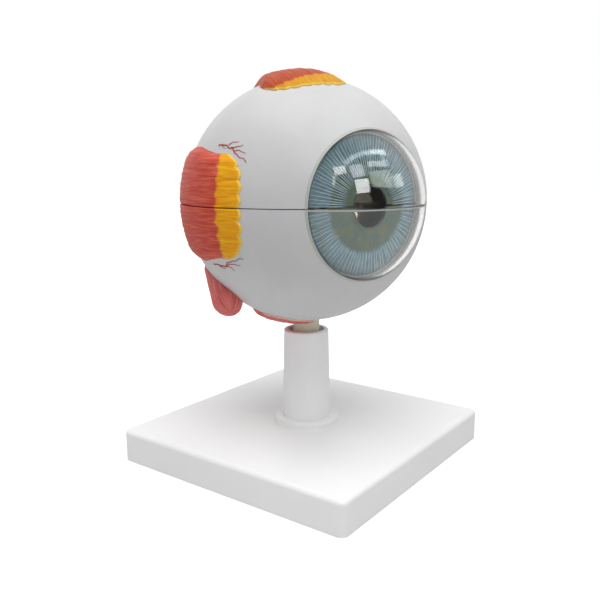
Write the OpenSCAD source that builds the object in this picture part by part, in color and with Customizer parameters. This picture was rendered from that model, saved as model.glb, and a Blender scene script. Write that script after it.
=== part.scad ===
// Six-times enlarged model of a right human eye on a white stand.
// The eyeball is a nest of shells cut by one level seam. The upper wall half lifts off first, then the
// upper half of the vessel layer, the clear body with the lens, and the lower half of the vessel layer.
// Each shell is made about the eyeball's own centre, with local +X along the line of sight, local +Y
// towards the nose and +Z up, and is then turned on the peg and raised over the stand.

/* [Base] */
// Side of the square base
base_w = 163; // [150:1:180]
// Height of the base
base_h = 20; // [18:0.5:24]
// Thickness of the base's four side walls
base_wall = 3; // [2:0.5:4]
// Thickness of the base's top plate
base_top_t = 3.5; // [2.5:0.5:4]
// Rounding of the base's four upright corners
base_corner_r = 4.5; // [4:0.5:7]
// Rounding of the edge round the top of the base
base_edge_r = 3; // [1:0.5:3.5]
// Thickness of the four ribs under the base
rib_t = 2.4; // [1.6:0.2:4]
// Gap between the lower edges of the ribs and the table
rib_lift = 1.5; // [1:0.5:4]

/* [Column] */
// Radius of the collar moulded round the foot of the column
collar_r = 20.6; // [19:0.1:23]
// Height of the collar above the base
collar_h = 4; // [3:0.5:6]
// Rounding of the collar's top edge
collar_edge_r = 1.6; // [0.5:0.1:2.5]
// Radius of the column at its foot
column_foot_r = 15; // [14.5:0.1:16]
// Radius of the column at its top
column_top_r = 13.9; // [13.2:0.1:14.4]
// Height of the column's top above the base
column_rise = 59.5; // [50:0.5:75]
// Depth of the column's foot in its socket, measured from the top of the collar
socket_depth = 15; // [12:0.5:15.5]
// Radius of the open cup in the column's top
cup_r = 11.4; // [10.5:0.1:12]
// Depth of the open cup in the column's top
cup_depth = 4.5; // [3:0.5:6]
// Width of the bevel round the column's top rim
rim_bevel = 0.6; // [0.2:0.1:1]

/* [Column screw] */
// Radius of the screw's shank
screw_r = 2.5; // [2:0.1:3]
// Length of the screw's shank
screw_len = 20; // [14:1:24]
// Radius of the screw's head
screw_head_r = 4.75; // [4.2:0.05:5.2]
// Height of the screw's head
screw_head_h = 3; // [2.4:0.1:3.2]
// Width of the cross recess in the screw's head
recess_w = 1.2; // [0.8:0.1:1.6]
// Half length of the cross recess
recess_reach = 2.9; // [2:0.1:3.2]
// Depth of the cross recess
recess_depth = 1.5; // [1:0.1:2]
// Radius of the washer
washer_r = 7.5; // [6:0.1:8]
// Thickness of the washer
washer_t = 1.2; // [0.8:0.1:1.4]
// Radius of the counterbore that takes the washer and the head
counterbore_r = 8.6; // [8.4:0.1:10]
// Clear height kept between the screw's head and the table
head_lift = 0.8; // [0.4:0.1:1]
// Depth of the pilot hole past the screw's tip
pilot_spare = 2; // [1:0.5:4]

/* [Swivel peg] */
// Radius of the peg that turns in the column
peg_r = 6; // [5:0.1:6.5]
// Depth of the peg in the column, below the cup
peg_depth = 24; // [16:1:28]
// Clear depth of the bore under the peg
peg_spare = 1; // [0.5:0.5:3]
// Radius of the white neck between the peg and the eyeball
neck_r = 8.2; // [7.6:0.1:10]
// Gap between the column's top and the lowest point of the eyeball
eye_gap = 6.9; // [6:0.1:12]
// Angle by which the eyeball is turned on its peg at rest
eye_turn = -19.5; // [-45:0.5:45]

/* [Eyeball wall] */
// Outside radius of the eyeball
eye_r = 72; // [70:0.5:74]
// Thickness of the white wall
sclera_wall = 4.5; // [4:0.1:5]
// Radius of the round opening that the cornea fills
limbus_r = 41.2; // [39:0.1:42]
// Gap at the level seam between upper and lower pieces
seam_gap = 0.5; // [0.3:0.1:0.8]
// Radius of the locating pins in the rim
pin_r = 1.2; // [0.8:0.1:1.3]
// Height of the locating pins above the seam, and their depth below it
pin_reach = 4.5; // [3:0.5:6]
// Radial clearance of the locating pins in the upper half
pin_fit = 0.25; // [0.15:0.05:0.35]
// Depth of the pins' holes past their tips
pin_spare = 0.5; // [0.2:0.1:1]

/* [Cornea] */
// Radius of curvature of the outside of the cornea
cornea_r = 50; // [46:0.5:56]
// Thickness of the cornea
cornea_wall = 2; // [1.4:0.1:2.6]

/* [Vessel layer] */
// Thickness of the vessel layer with the retina on its inside
choroid_wall = 3.5; // [3:0.1:4]
// Set-back of the vessel layer's front edge inside the cornea's opening
choroid_inset = 0.9; // [0.5:0.1:2]

/* [Iris and ciliary ring] */
// Radius of the pupil
pupil_r = 11; // [7:0.5:16]
// Thickness of the iris
iris_t = 1.8; // [1.2:0.1:2.2]
// Height by which the iris stands forward at the pupil
iris_rise = 5.2; // [4:0.1:7]
// Length of the ciliary ring along the line of sight
ciliary_len = 12; // [10:0.5:13]
// Gap between the ciliary ring and the lens's edge
zonule_gap = 2.5; // [1.5:0.1:3.5]
// Depth of the slope at the back of the ciliary ring
ciliary_slope = 8; // [5:0.5:9]

/* [Lens] */
// Radius of the lens's edge
lens_r = 28; // [26:0.5:29]
// Thickness of the lens at its centre
lens_t = 24; // [22:0.5:25]
// Radius of curvature of the lens's front
lens_front_r = 50; // [46:0.5:56]
// Width of the flat band round the lens's edge
lens_band = 2; // [1.5:0.1:2.5]
// Distance from the vessel layer's front edge back to the lens's front
lens_setback = 2; // [1:0.1:3]

/* [Clear body] */
// Thickness of the clear body's wall
vitreous_wall = 2.5; // [2:0.1:3]
// Radius of the vent in the back of the clear body
vent_r = 1.5; // [1:0.1:2.5]

/* [Side muscles] */
// Height of the side muscles over the wall
side_rise = 3.4; // [2.5:0.1:4.5]
// Distance from the middle of the side muscles forward to the tendon's tips
side_front = 33.5; // [29:0.5:34.5]
// Distance from the middle of the side muscles back to their cut end
side_back = 30; // [26:0.5:32]
// Half width of the side muscles at the tendon
side_tendon_w = 28; // [24:0.5:29]
// Half width of the side muscles' belly
side_belly_w = 32; // [30:0.5:34]

/* [Upper and lower muscles] */
// Height of the upper muscle over the wall
upper_rise = 6.4; // [5:0.1:8]
// Distance from the middle of the upper muscle forward to the tendon's tips
upper_front = 32.5; // [28:0.5:34]
// Half width of the upper muscle at the tendon
upper_tendon_w = 24; // [21:0.5:25]
// Half width of the upper muscle's belly
upper_belly_w = 20; // [18:0.5:25]
// Angle by which the middle of the upper muscle lies to the outer side of the eyeball's pole
upper_roll = 6; // [2:0.5:8]
// Height of the lower muscle over the wall
lower_rise = 6.2; // [3:0.1:6.6]
// Distance from the middle of the lower muscle forward to the tendon's tips
lower_front = 18; // [16:0.5:24]
// Half width of the lower muscle at the tendon
lower_tendon_w = 17.5; // [16:0.5:19]
// Half width of the lower muscle's belly
lower_belly_w = 19.5; // [19:0.5:23]
// Angle by which the middle of the lower muscle lies to the outer side of the eyeball's pole
lower_roll = 11; // [8:0.5:12]
// Distance from the middle of both muscles back to their cut ends
upright_back = 21; // [18:0.5:26]
// Angle by which both muscles run outwards, away from the nose, towards their tendons
upright_run = 15; // [10:1:20]

/* [Tendons and muscle edges] */
// Number of points along the front edge of each tendon, half of them on each side of its middle
tendon_tips = 8; // [4:2:12]
// Depth of the notches between those points
tip_depth = 1.8; // [1:0.1:3]
// Thickness of a tendon at its tips
tendon_t = 1; // [0.6:0.1:1.6]
// Distance by which a tendon's corners lie behind its middle
tendon_round = 11.5; // [8:0.5:15]
// Radius of the rounding along the long edges of the straight muscles
edge_round = 14; // [8:0.5:18]
// Radius of the longer rounding along the upper muscle's edge towards the nose
inner_round = 44; // [30:1:44]
// Shift, back from the eyeball's centre, of the larger ball that thins the tendons to their tips
taper_shift = 13.5; // [11:0.5:18]

/* [Oblique muscles] */
// Height of the lower oblique muscle's free end over the wall
inferior_oblique_rise = 13; // [9:0.5:14]
// Height of the upper oblique muscle's free end over the wall
superior_oblique_rise = 5.5; // [4:0.5:6]
// Half width of an oblique muscle's free end
oblique_end_w = 11; // [9:0.5:12]
// Radius of the rounding at an oblique muscle's free end
oblique_tip_r = 8.8; // [7:0.1:9]
// Half width of an oblique muscle where it meets the wall
oblique_root_w = 7; // [5:0.5:8]
// Depth of the middle of that end under the wall's surface
oblique_root_sink = 5.2; // [4:0.1:6]
// Length of an oblique muscle along the wall
oblique_len = 36; // [30:1:38]
// Gap left for adhesive between an oblique muscle and the wall
oblique_gap = 0.15; // [0.1:0.05:0.3]

/* [Optic nerve] */
// Radius of the optic nerve's sheath
sheath_r = 11; // [9:0.5:12]
// Radius of the nerve inside the sheath
nerve_r = 8.4; // [6:0.1:8.6]
// Length of the sheath, from the eyeball's surface to its cut end
sheath_len = 15.5; // [8:0.5:16]
// Length of nerve that stands out of the sheath
nerve_stub = 2; // [1:0.5:3]
// Angle of the nerve from straight back, towards the nose
nerve_angle = 15; // [10:1:20]

/* [Fits] */
// Gap between shells that nest loosely
nest_gap = 0.3; // [0.2:0.05:0.4]
// Gap left for adhesive between bonded pieces
bond_gap = 0.05; // [0.02:0.01:0.1]
// Radial running clearance of the peg
peg_fit = 0.06; // [0.03:0.01:0.1]
// Height of the bearing gap under the neck
bearing_gap = 0.1; // [0.05:0.05:0.3]
// Radial clearance of the column in its socket
socket_fit = 0.1; // [0.05:0.05:0.2]
// Radial clearance of the screw in the base and the washer
screw_fit = 0.3; // [0.2:0.05:0.5]

/* [Hidden] */
$fn = 96;
eps = 0.01;
// Distance by which a cutter passes the face that it cuts
cut_past = 1;

// Stand, from the table up
half_w = base_w / 2;
collar_top = base_h + collar_h;
socket_floor = collar_top - socket_depth;
column_top = base_h + column_rise;
cup_floor = column_top - cup_depth;
bore_floor = cup_floor - peg_depth - peg_spare;
washer_z = head_lift + screw_head_h;
screw_top = washer_z + screw_len;
pilot_top = screw_top + pilot_spare;
peg_bottom = cup_floor - peg_depth;
neck_bottom = cup_floor + bearing_gap;
eye_z = column_top + eye_gap + eye_r;

// Radii of the nested shells, from the outside in
sclera_in_r = eye_r - sclera_wall;
choroid_r = sclera_in_r - nest_gap;
choroid_in_r = choroid_r - choroid_wall;
vitreous_r = choroid_in_r - nest_gap;
vitreous_in_r = vitreous_r - vitreous_wall;

// Depth of a spherical cap of a given sphere radius and edge radius
function cap_depth(ball, edge) = ball - sqrt(pow(ball, 2) - pow(edge, 2));
// Distance from a ball's centre to the plane that cuts it in a circle of a given radius
function plane_at(ball, edge) = sqrt(pow(ball, 2) - pow(edge, 2));

// Places along the line of sight, measured from the eyeball's centre
limbus_x = plane_at(eye_r, limbus_r);
cornea_rim_r = limbus_r - bond_gap;
cornea_x = limbus_x - plane_at(cornea_r, cornea_rim_r);
cornea_in_r = cornea_r - cornea_wall;
cornea_in_rim_r = sqrt(pow(cornea_in_r, 2) - pow(limbus_x - cornea_x, 2));
choroid_front_r = limbus_r - choroid_inset;
choroid_front_x = plane_at(choroid_r, choroid_front_r);
cornea_back_x = choroid_front_x + 2 * nest_gap;
iris_r = cornea_in_rim_r - nest_gap;
ciliary_front_x = choroid_front_x - nest_gap;
ciliary_back_x = ciliary_front_x - ciliary_len;
ciliary_in_r = lens_r + zonule_gap;
vitreous_front_x = ciliary_back_x - nest_gap;

// Lens: the back's curvature follows from its thickness, edge band and front
lens_back_depth = lens_t - lens_band - cap_depth(lens_front_r, lens_r);
lens_back_r = (pow(lens_r, 2) + pow(lens_back_depth, 2)) / (2 * lens_back_depth);
lens_front_x = choroid_front_x - lens_setback;
lens_back_x = lens_front_x - lens_t;

// Four pins stand in the middle of the wall, clear of the cornea and the nerve
pin_ring_r = (eye_r + sclera_in_r) / 2;
pin_angles = [52, 140, 220, 308];

// Distance from the eyeball's centre to the cut end of the nerve's sheath
sheath_reach = eye_r + sheath_len;

// Angle by which a muscle is drawn past its tendon's tips before the tips are cut
tendon_spare = 3;
// Height by which a rounding would pass a muscle's top, so that the two meet at a slight angle
round_lap = 0.15;

// The oblique muscles: direction of their middles and of their run, in the eyeball's own frame
inferior_oblique_angles = [-106.9, -43.8];
inferior_oblique_turn = 53;
superior_oblique_angles = [135, 46];
superior_oblique_turn = 125;

// Puts a shell made about its own centre in place on the peg, looking over the front of the base
module in_eye() translate([0, 0, eye_z]) rotate([0, 0, eye_turn - 90]) children();

// Turns a shape made about +Z so that it lies about the line of sight
module along_sight() rotate([0, 90, 0]) children();

// Turns an outline about the line of sight: outline X is the distance from that line, and outline Y
// the place along it
module turned() {
    along_sight() rotate_extrude() intersection() {
        translate([0, -2 * eye_r]) square([2 * eye_r, 4 * eye_r]);
        children();
    }
}

// Everything in front of a place along the line of sight, in such an outline
module ahead_of(place) translate([-2 * eye_r, place]) square([4 * eye_r, 2 * eye_r]);

// Keeps the part of a shape above or below the seam
module upper_half() {
    intersection() {
        children();
        translate([-2 * eye_r, -2 * eye_r, seam_gap / 2]) cube([4 * eye_r, 4 * eye_r, 2 * eye_r]);
    }
}
module lower_half() {
    intersection() {
        children();
        translate([-2 * eye_r, -2 * eye_r, -2 * eye_r - seam_gap / 2])
            cube([4 * eye_r, 4 * eye_r, 2 * eye_r]);
    }
}

// ---- Stand

// Upright side of a given depth with a rounded top edge
module edge_profile(depth, height, rounding) {
    intersection() {
        square([depth, height]);
        union() {
            square([depth, height - rounding]);
            square([depth - rounding, height]);
            translate([depth - rounding, height - rounding]) circle(rounding);
        }
    }
}

// Solid block with rounded corners and top edge: a cross of two bars and four turned corner posts
module base_block() {
    straight = half_w - base_corner_r;
    translate([-straight, -straight, 0]) cube([2 * straight, 2 * straight, base_h]);
    for (turn = [0:90:270]) rotate([0, 0, turn]) translate([straight, straight, 0]) {
        rotate([90, 0, 0]) linear_extrude(2 * straight)
            edge_profile(base_corner_r, base_h, base_edge_r);
        rotate_extrude(angle = 90) edge_profile(base_corner_r, base_h, base_edge_r);
    }
}

// One of the four hollows under the base, between the ribs
module base_pocket() {
    pocket_w = half_w - base_wall - rib_t / 2;
    translate([rib_t / 2, rib_t / 2, -eps]) cube([pocket_w, pocket_w, base_h - base_top_t + eps]);
}

module base_plate() {
    color("white") difference() {
        union() {
            difference() {
                base_block();
                for (turn = [0:90:270]) rotate([0, 0, turn]) base_pocket();
                for (turn = [0, 90]) rotate([0, 0, turn])
                    translate([base_wall - half_w, -rib_t / 2 - eps, -eps])
                        cube([base_w - 2 * base_wall, rib_t + 2 * eps, rib_lift + eps]);
            }
            rotate_extrude() edge_profile(collar_r, collar_top, collar_edge_r);
        }
        translate([0, 0, socket_floor])
            cylinder(r = column_foot_r + socket_fit, h = socket_depth + cut_past);
        translate([0, 0, -cut_past])
            cylinder(r = counterbore_r, h = cut_past + washer_z + washer_t);
        cylinder(r = screw_r + screw_fit, h = collar_top);
    }
}

module column() {
    color("white") difference() {
        union() {
            translate([0, 0, socket_floor]) cylinder(r = column_foot_r, h = socket_depth);
            translate([0, 0, collar_top])
                cylinder(r1 = column_foot_r, r2 = column_top_r, h = column_top - collar_top - rim_bevel);
            translate([0, 0, column_top - rim_bevel])
                cylinder(r1 = column_top_r, r2 = column_top_r - rim_bevel, h = rim_bevel);
        }
        translate([0, 0, cup_floor]) cylinder(r = cup_r, h = cup_depth + cut_past);
        translate([0, 0, bore_floor]) cylinder(r = peg_r + peg_fit, h = column_top - bore_floor);
        translate([0, 0, socket_floor - cut_past])
            cylinder(r = screw_r + bond_gap, h = cut_past + pilot_top - socket_floor);
    }
}

module column_screw() {
    color("silver") difference() {
        union() {
            translate([0, 0, head_lift]) cylinder(r = screw_head_r, h = screw_head_h);
            translate([0, 0, washer_z]) cylinder(r = screw_r, h = screw_len);
        }
        for (turn = [0, 90]) rotate([0, 0, turn])
            translate([-recess_reach, -recess_w / 2, head_lift - cut_past])
                cube([2 * recess_reach, recess_w, cut_past + recess_depth]);
    }
}

module column_washer() {
    color("silver") translate([0, 0, washer_z]) difference() {
        cylinder(r = washer_r, h = washer_t);
        translate([0, 0, -cut_past]) cylinder(r = screw_r + screw_fit, h = washer_t + 2 * cut_past);
    }
}

module swivel_peg() {
    color("whitesmoke") {
        difference() {
            union() {
                translate([0, 0, peg_bottom]) cylinder(r = peg_r, h = neck_bottom - peg_bottom);
                translate([0, 0, neck_bottom]) cylinder(r = neck_r, h = eye_z - sclera_in_r - neck_bottom);
            }
            translate([0, 0, eye_z]) sphere(eye_r + bond_gap);
        }
        intersection() {
            translate([0, 0, neck_bottom]) cylinder(r = peg_r, h = eye_r);
            difference() {
                translate([0, 0, eye_z]) sphere(eye_r + 2 * bond_gap);
                translate([0, 0, eye_z]) sphere(sclera_in_r);
            }
        }
    }
}

// ---- Eyeball wall

module sclera_shell() {
    turned() difference() {
        circle(eye_r);
        circle(sclera_in_r);
        translate([0, sclera_in_r / 2]) square([limbus_r, eye_r]);
    }
}

module sclera_lower() {
    color("gainsboro") in_eye() difference() {
        lower_half() sclera_shell();
        translate([0, 0, -eye_r - cut_past])
            cylinder(r = peg_r + bond_gap, h = sclera_wall + 3 * cut_past);
        for (turn = pin_angles) rotate([0, 0, turn]) translate([pin_ring_r, 0, -pin_reach])
            cylinder(r = pin_r + bond_gap, h = pin_reach + cut_past);
    }
}

module sclera_upper() {
    color("gainsboro") in_eye() difference() {
        upper_half() sclera_shell();
        for (turn = pin_angles) rotate([0, 0, turn]) translate([pin_ring_r, 0, -cut_past])
            cylinder(r = pin_r + pin_fit, h = cut_past + pin_reach + pin_spare);
    }
}

module locating_pins() {
    color("silver") in_eye() for (turn = pin_angles) rotate([0, 0, turn])
        translate([pin_ring_r, 0, -pin_reach]) cylinder(r = pin_r, h = 2 * pin_reach);
}

// ---- Cornea: a domed window with a straight skirt that is bonded into the wall's opening

module window_outline(ball, rim, back) {
    intersection() {
        translate([0, cornea_x]) circle(ball);
        ahead_of(limbus_x);
    }
    translate([0, back]) square([rim, limbus_x - back]);
}

module cornea_shell() {
    turned() difference() {
        window_outline(cornea_r, cornea_rim_r, cornea_back_x);
        window_outline(cornea_in_r, cornea_in_rim_r, cornea_back_x - 1);
    }
}

module cornea_lower() {
    color([0.8, 0.9, 0.95, 0.35]) in_eye() lower_half() cornea_shell();
}
module cornea_upper() {
    color([0.8, 0.9, 0.95, 0.35]) in_eye() upper_half() cornea_shell();
}

// ---- Vessel layer, iris and ciliary ring

module choroid_shell() {
    turned() difference() {
        circle(choroid_r);
        circle(choroid_in_r);
        ahead_of(choroid_front_x);
    }
}

module choroid_lower() {
    color("firebrick") in_eye() lower_half() choroid_shell();
}
module choroid_upper() {
    color("firebrick") in_eye() upper_half() choroid_shell();
}

module iris_ring() {
    pupil_x = choroid_front_x + iris_rise;
    turned() polygon([
        [iris_r, choroid_front_x],
        [iris_r, choroid_front_x + iris_t],
        [pupil_r, pupil_x + iris_t],
        [pupil_r, pupil_x]
    ]);
}

module iris_lower() {
    color("steelblue") in_eye() lower_half() iris_ring();
}
module iris_upper() {
    color("steelblue") in_eye() upper_half() iris_ring();
}

module ciliary_ring() {
    turned() intersection() {
        circle(choroid_in_r - bond_gap);
        polygon([
            [ciliary_in_r, ciliary_front_x],
            [choroid_r, ciliary_front_x],
            [choroid_r, ciliary_back_x],
            [ciliary_in_r + ciliary_slope, ciliary_back_x],
            [ciliary_in_r, ciliary_back_x + ciliary_slope]
        ]);
    }
}

module ciliary_ring_lower() {
    color("saddlebrown") in_eye() lower_half() ciliary_ring();
}
module ciliary_ring_upper() {
    color("saddlebrown") in_eye() upper_half() ciliary_ring();
}

// ---- Clear body and lens

// The clear body's outline, or with a wall taken off all round, its hollow
module vitreous_outline(wall) {
    difference() {
        circle(vitreous_r - wall);
        ahead_of(vitreous_front_x - wall);
        translate([0, lens_back_x + lens_back_r]) circle(lens_back_r + nest_gap + wall);
    }
}

module vitreous_body() {
    color([0.85, 0.92, 0.95, 0.3]) in_eye() turned() difference() {
        vitreous_outline(0);
        vitreous_outline(vitreous_wall);
        translate([0, -eye_r]) square([vent_r, eye_r]);
    }
}

module lens() {
    color([0.95, 0.93, 0.8, 0.5]) in_eye() turned() intersection() {
        translate([0, lens_front_x - lens_front_r]) circle(lens_front_r);
        translate([0, lens_back_x + lens_back_r]) circle(lens_back_r);
        translate([0, lens_back_x - cut_past]) square([lens_r, lens_t + 2 * cut_past]);
    }
}

// ---- Straight muscles: each wraps round the wall. They are drawn on the eye's outer side, which is
// local -Y, with the tendon towards +X, and are then turned to their own side.

// Distance from the eyeball's centre to the centre of the rounding along a muscle's long edge
function round_reach(rise, rounding) = eye_r + rise + round_lap - rounding;
// Angle that such a rounding takes up, between the muscle's full height and the bare wall
function fade_turn(reach, rounding) =
    acos((pow(reach, 2) + pow(eye_r, 2) - pow(rounding, 2)) / (2 * reach * eye_r));

// Cross-section of a muscle lying on the wall, at a distance from the axis that it wraps round, with
// its own rounding along each long edge
module belly_profile(rise, belly_w, roundings) {
    reaches = [for (rounding = roundings) round_reach(rise, rounding)];
    edge_turn = asin(belly_w / eye_r);
    turns = [for (i = [0, 1]) (2 * i - 1) * (edge_turn - fade_turn(reaches[i], roundings[i]))];
    difference() {
        intersection() {
            circle(eye_r + rise);
            union() {
                polygon(concat([[0, 0]], [for (turn = turns) 2 * eye_r * [cos(turn), sin(turn)]]));
                for (i = [0, 1]) translate(reaches[i] * [cos(turns[i]), sin(turns[i])])
                    circle(roundings[i]);
            }
        }
        circle(eye_r + bond_gap);
    }
}

// Front edge of a tendon at a distance across it: a rounded front with a row of points
function tendon_edge(across, front, half) =
    front - tendon_round * pow(abs(across) / half, 4)
    - tip_depth * (1 - abs(sin(90 * tendon_tips * across / half)));

// Outline that cuts the tendon's front edge, seen from outside the muscle
module tendon_outline(front, back, tendon_w, belly_w) {
    steps = 8 * tendon_tips;
    polygon(concat(
        [
            for (i = [0:steps])
                let (across = tendon_w * (2 * i / steps - 1))
                [tendon_edge(across, front, tendon_w), across]
        ],
        [for (corner = [[0, 1], [-2 * back, 1], [-2 * back, -1], [0, -1]])
            [corner[0], corner[1] * (belly_w + cut_past)]]
    ));
}

module straight_muscle(rise, front, back, tendon_w, belly_w, roundings = [edge_round, edge_round]) {
    front_turn = acos(front / eye_r) - tendon_spare;
    back_turn = 90 + asin(back / eye_r);
    tip_x = (eye_r + tendon_t) * front / eye_r;
    tip_y = plane_at(eye_r + tendon_t, tip_x);
    intersection() {
        rotate([0, 0, -back_turn]) rotate_extrude(angle = back_turn - front_turn)
            belly_profile(rise, belly_w, roundings);
        translate([-taper_shift, 0, 0]) sphere(norm([tip_x + taper_shift, tip_y]));
        rotate([90, 0, 0]) linear_extrude(2 * eye_r)
            tendon_outline(front, back, tendon_w, belly_w);
    }
}

module side_muscle() {
    straight_muscle(side_rise, side_front, side_back, side_tendon_w, side_belly_w);
}

module lateral_rectus_lower() {
    color("indianred") in_eye() lower_half() side_muscle();
}
module lateral_rectus_upper() {
    color("indianred") in_eye() upper_half() side_muscle();
}
module medial_rectus_lower() {
    color("indianred") in_eye() lower_half() rotate([180, 0, 0]) side_muscle();
}
module medial_rectus_upper() {
    color("indianred") in_eye() upper_half() rotate([180, 0, 0]) side_muscle();
}

module superior_rectus() {
    color("indianred") in_eye() rotate([upper_roll - 90, 0, -upright_run])
        straight_muscle(upper_rise, upper_front, upright_back, upper_tendon_w, upper_belly_w,
            [edge_round, inner_round]);
}

module inferior_rectus() {
    color("indianred") in_eye() difference() {
        rotate([90 - lower_roll, 0, -upright_run])
            straight_muscle(lower_rise, lower_front, upright_back, lower_tendon_w, lower_belly_w);
        translate([0, 0, -2 * eye_r]) cylinder(r = neck_r + nest_gap, h = 2 * eye_r);
    }
}

// ---- Oblique muscles: a stump that leaves the wall and ends in a blunt, swollen tip

module oblique_muscle(angles, turn, rise) {
    rotate([0, 0, angles[0]]) rotate([0, 90 - angles[1], 0]) rotate([0, 0, turn]) difference() {
        hull() {
            translate([oblique_root_w - oblique_len / 2, 0, eye_r - oblique_root_sink])
                sphere(oblique_root_w, $fn = 28);
            for (side = [-1, 1]) translate([
                oblique_len / 2 - oblique_tip_r,
                side * (oblique_end_w - oblique_tip_r),
                eye_r + rise - oblique_tip_r
            ]) sphere(oblique_tip_r, $fn = 28);
        }
        sphere(eye_r + oblique_gap);
    }
}

module inferior_oblique() {
    color("firebrick") in_eye()
        oblique_muscle(inferior_oblique_angles, inferior_oblique_turn, inferior_oblique_rise);
}
module superior_oblique() {
    color("firebrick") in_eye()
        oblique_muscle(superior_oblique_angles, superior_oblique_turn, superior_oblique_rise);
}

// ---- Optic nerve: a sheath with the nerve standing a little out of its cut end

module optic_nerve() {
    rotate([0, 0, -nerve_angle]) rotate([0, -90, 0]) difference() {
        union() {
            translate([0, 0, eye_r / 2]) cylinder(r = sheath_r, h = sheath_reach - eye_r / 2);
            translate([0, 0, eye_r / 2]) cylinder(r = nerve_r, h = sheath_reach + nerve_stub - eye_r / 2);
        }
        sphere(eye_r + bond_gap);
    }
}

module optic_nerve_lower() {
    color("khaki") in_eye() lower_half() optic_nerve();
}
module optic_nerve_upper() {
    color("khaki") in_eye() upper_half() optic_nerve();
}

base_plate();
column();
column_screw();
column_washer();
sclera_lower();
cornea_lower();
lateral_rectus_lower();
medial_rectus_lower();
inferior_rectus();
inferior_oblique();
optic_nerve_lower();
swivel_peg();
locating_pins();
choroid_lower();
iris_lower();
ciliary_ring_lower();
vitreous_body();
lens();
choroid_upper();
iris_upper();
ciliary_ring_upper();
sclera_upper();
cornea_upper();
lateral_rectus_upper();
medial_rectus_upper();
superior_rectus();
superior_oblique();
optic_nerve_upper();
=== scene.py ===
import math

import bmesh
import bpy
import numpy as np
from mathutils import Matrix, Quaternion, Vector


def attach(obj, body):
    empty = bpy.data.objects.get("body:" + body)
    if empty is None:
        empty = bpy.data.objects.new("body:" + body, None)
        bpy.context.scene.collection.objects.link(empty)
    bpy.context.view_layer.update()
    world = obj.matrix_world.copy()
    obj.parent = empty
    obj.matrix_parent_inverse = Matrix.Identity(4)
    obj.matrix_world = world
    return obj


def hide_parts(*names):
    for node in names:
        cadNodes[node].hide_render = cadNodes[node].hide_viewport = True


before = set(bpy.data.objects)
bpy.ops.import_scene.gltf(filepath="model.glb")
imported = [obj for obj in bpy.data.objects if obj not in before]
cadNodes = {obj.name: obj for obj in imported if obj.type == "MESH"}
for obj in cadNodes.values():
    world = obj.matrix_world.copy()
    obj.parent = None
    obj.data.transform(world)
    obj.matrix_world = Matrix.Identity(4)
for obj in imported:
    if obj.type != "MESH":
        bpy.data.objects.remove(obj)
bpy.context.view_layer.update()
print("frame loaded:", len(cadNodes), "CAD nodes")

mm = 0.001
turnedSpan, fleshSpan = 100.0, 10.0  # millimetres in one unit of a turned body's and a muscle's UV map
mergeWithin = 0.002 * mm  # points nearer than this are one
halves = ((-1, "lower"), (1, "upper"))  # the side of the seam, and its word in a name

# The eyeball's place on the stand. Its own frame has +X along the line of sight, +Y to the nose and
# +Z up; lengths in that frame are in millimetres
eyeball = {"height": 158.4 * mm, "turn": -19.5, "radius": 72.0, "seamHalf": 0.25, "glueGap": 0.05}
eyeMatrix = (Matrix.Translation((0, 0, eyeball["height"]))
             @ Matrix.Rotation(math.radians(eyeball["turn"] - 90), 4, "Z"))
eyeAxes = np.array(eyeMatrix.to_3x3())
eyeCentre = np.array(eyeMatrix.translation)


def inWorld(points):  # from the eyeball's own frame in millimetres to the shared frame in metres
    return np.asarray(points, float) * mm @ eyeAxes.T + eyeCentre


# Colours, shader nodes and meshes

def paint(red, green, blue):  # an everyday 0-255 colour as the shader wants it
    def linear(share):
        return share / 12.92 if share <= 0.04045 else ((share + 0.055) / 1.055) ** 2.4
    return tuple(linear(value / 255) for value in (red, green, blue)) + (1.0,)


def newFinish(name, values=None):
    finish = bpy.data.materials.new(name)
    finish.use_nodes = True
    shader = finish.node_tree.nodes["Principled BSDF"]
    for socket, value in (values or {}).items():
        shader.inputs[socket].default_value = value
    return finish, finish.node_tree, shader


def addNode(tree, kind, links=None, values=None, **settings):
    node = tree.nodes.new(kind)
    for key, value in settings.items():
        setattr(node, key, value)
    for key, value in (values or {}).items():
        node.inputs[key].default_value = value
    for key, source in (links or {}).items():
        tree.links.new(source, node.inputs[key])
    return node


def feed(tree, socket, value):  # a link where the value is a socket, and otherwise a plain number
    if isinstance(value, bpy.types.NodeSocket):
        tree.links.new(value, socket)
    else:
        socket.default_value = value


def maths(tree, operation, *values):
    node = addNode(tree, "ShaderNodeMath", operation=operation)
    for socket, value in zip(node.inputs, values):
        feed(tree, socket, value)
    return node.outputs[0]


def rescaled(tree, value, low, high, newLow=0.0, newHigh=1.0, smooth=False):
    node = addNode(tree, "ShaderNodeMapRange", {"Value": value},
                   {"From Min": low, "From Max": high, "To Min": newLow, "To Max": newHigh},
                   interpolation_type="SMOOTHSTEP" if smooth else "LINEAR")
    return node.outputs["Result"]


def mixed(tree, share, first, second):
    node = addNode(tree, "ShaderNodeMix", data_type="RGBA")
    for index, value in ((0, share), (6, first), (7, second)):
        feed(tree, node.inputs[index], value)
    return node.outputs[2]


def blended(tree, share, first, second):  # between two plain values
    node = addNode(tree, "ShaderNodeMix", data_type="FLOAT")
    for index, value in ((0, share), (2, first), (3, second)):
        feed(tree, node.inputs[index], value)
    return node.outputs[0]


def graded(tree, factor, stops):  # a colour ramp from (place, 0-255 colour) pairs
    node = addNode(tree, "ShaderNodeValToRGB", {"Fac": factor})
    elements = node.color_ramp.elements
    while len(elements) < len(stops):
        elements.new(0.5)
    for element, (place, colour) in zip(elements, stops):
        element.position = place
        element.color = paint(*colour)
    return node.outputs["Color"]


def objectPlace(tree):
    return addNode(tree, "ShaderNodeTexCoord").outputs["Object"]


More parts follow.
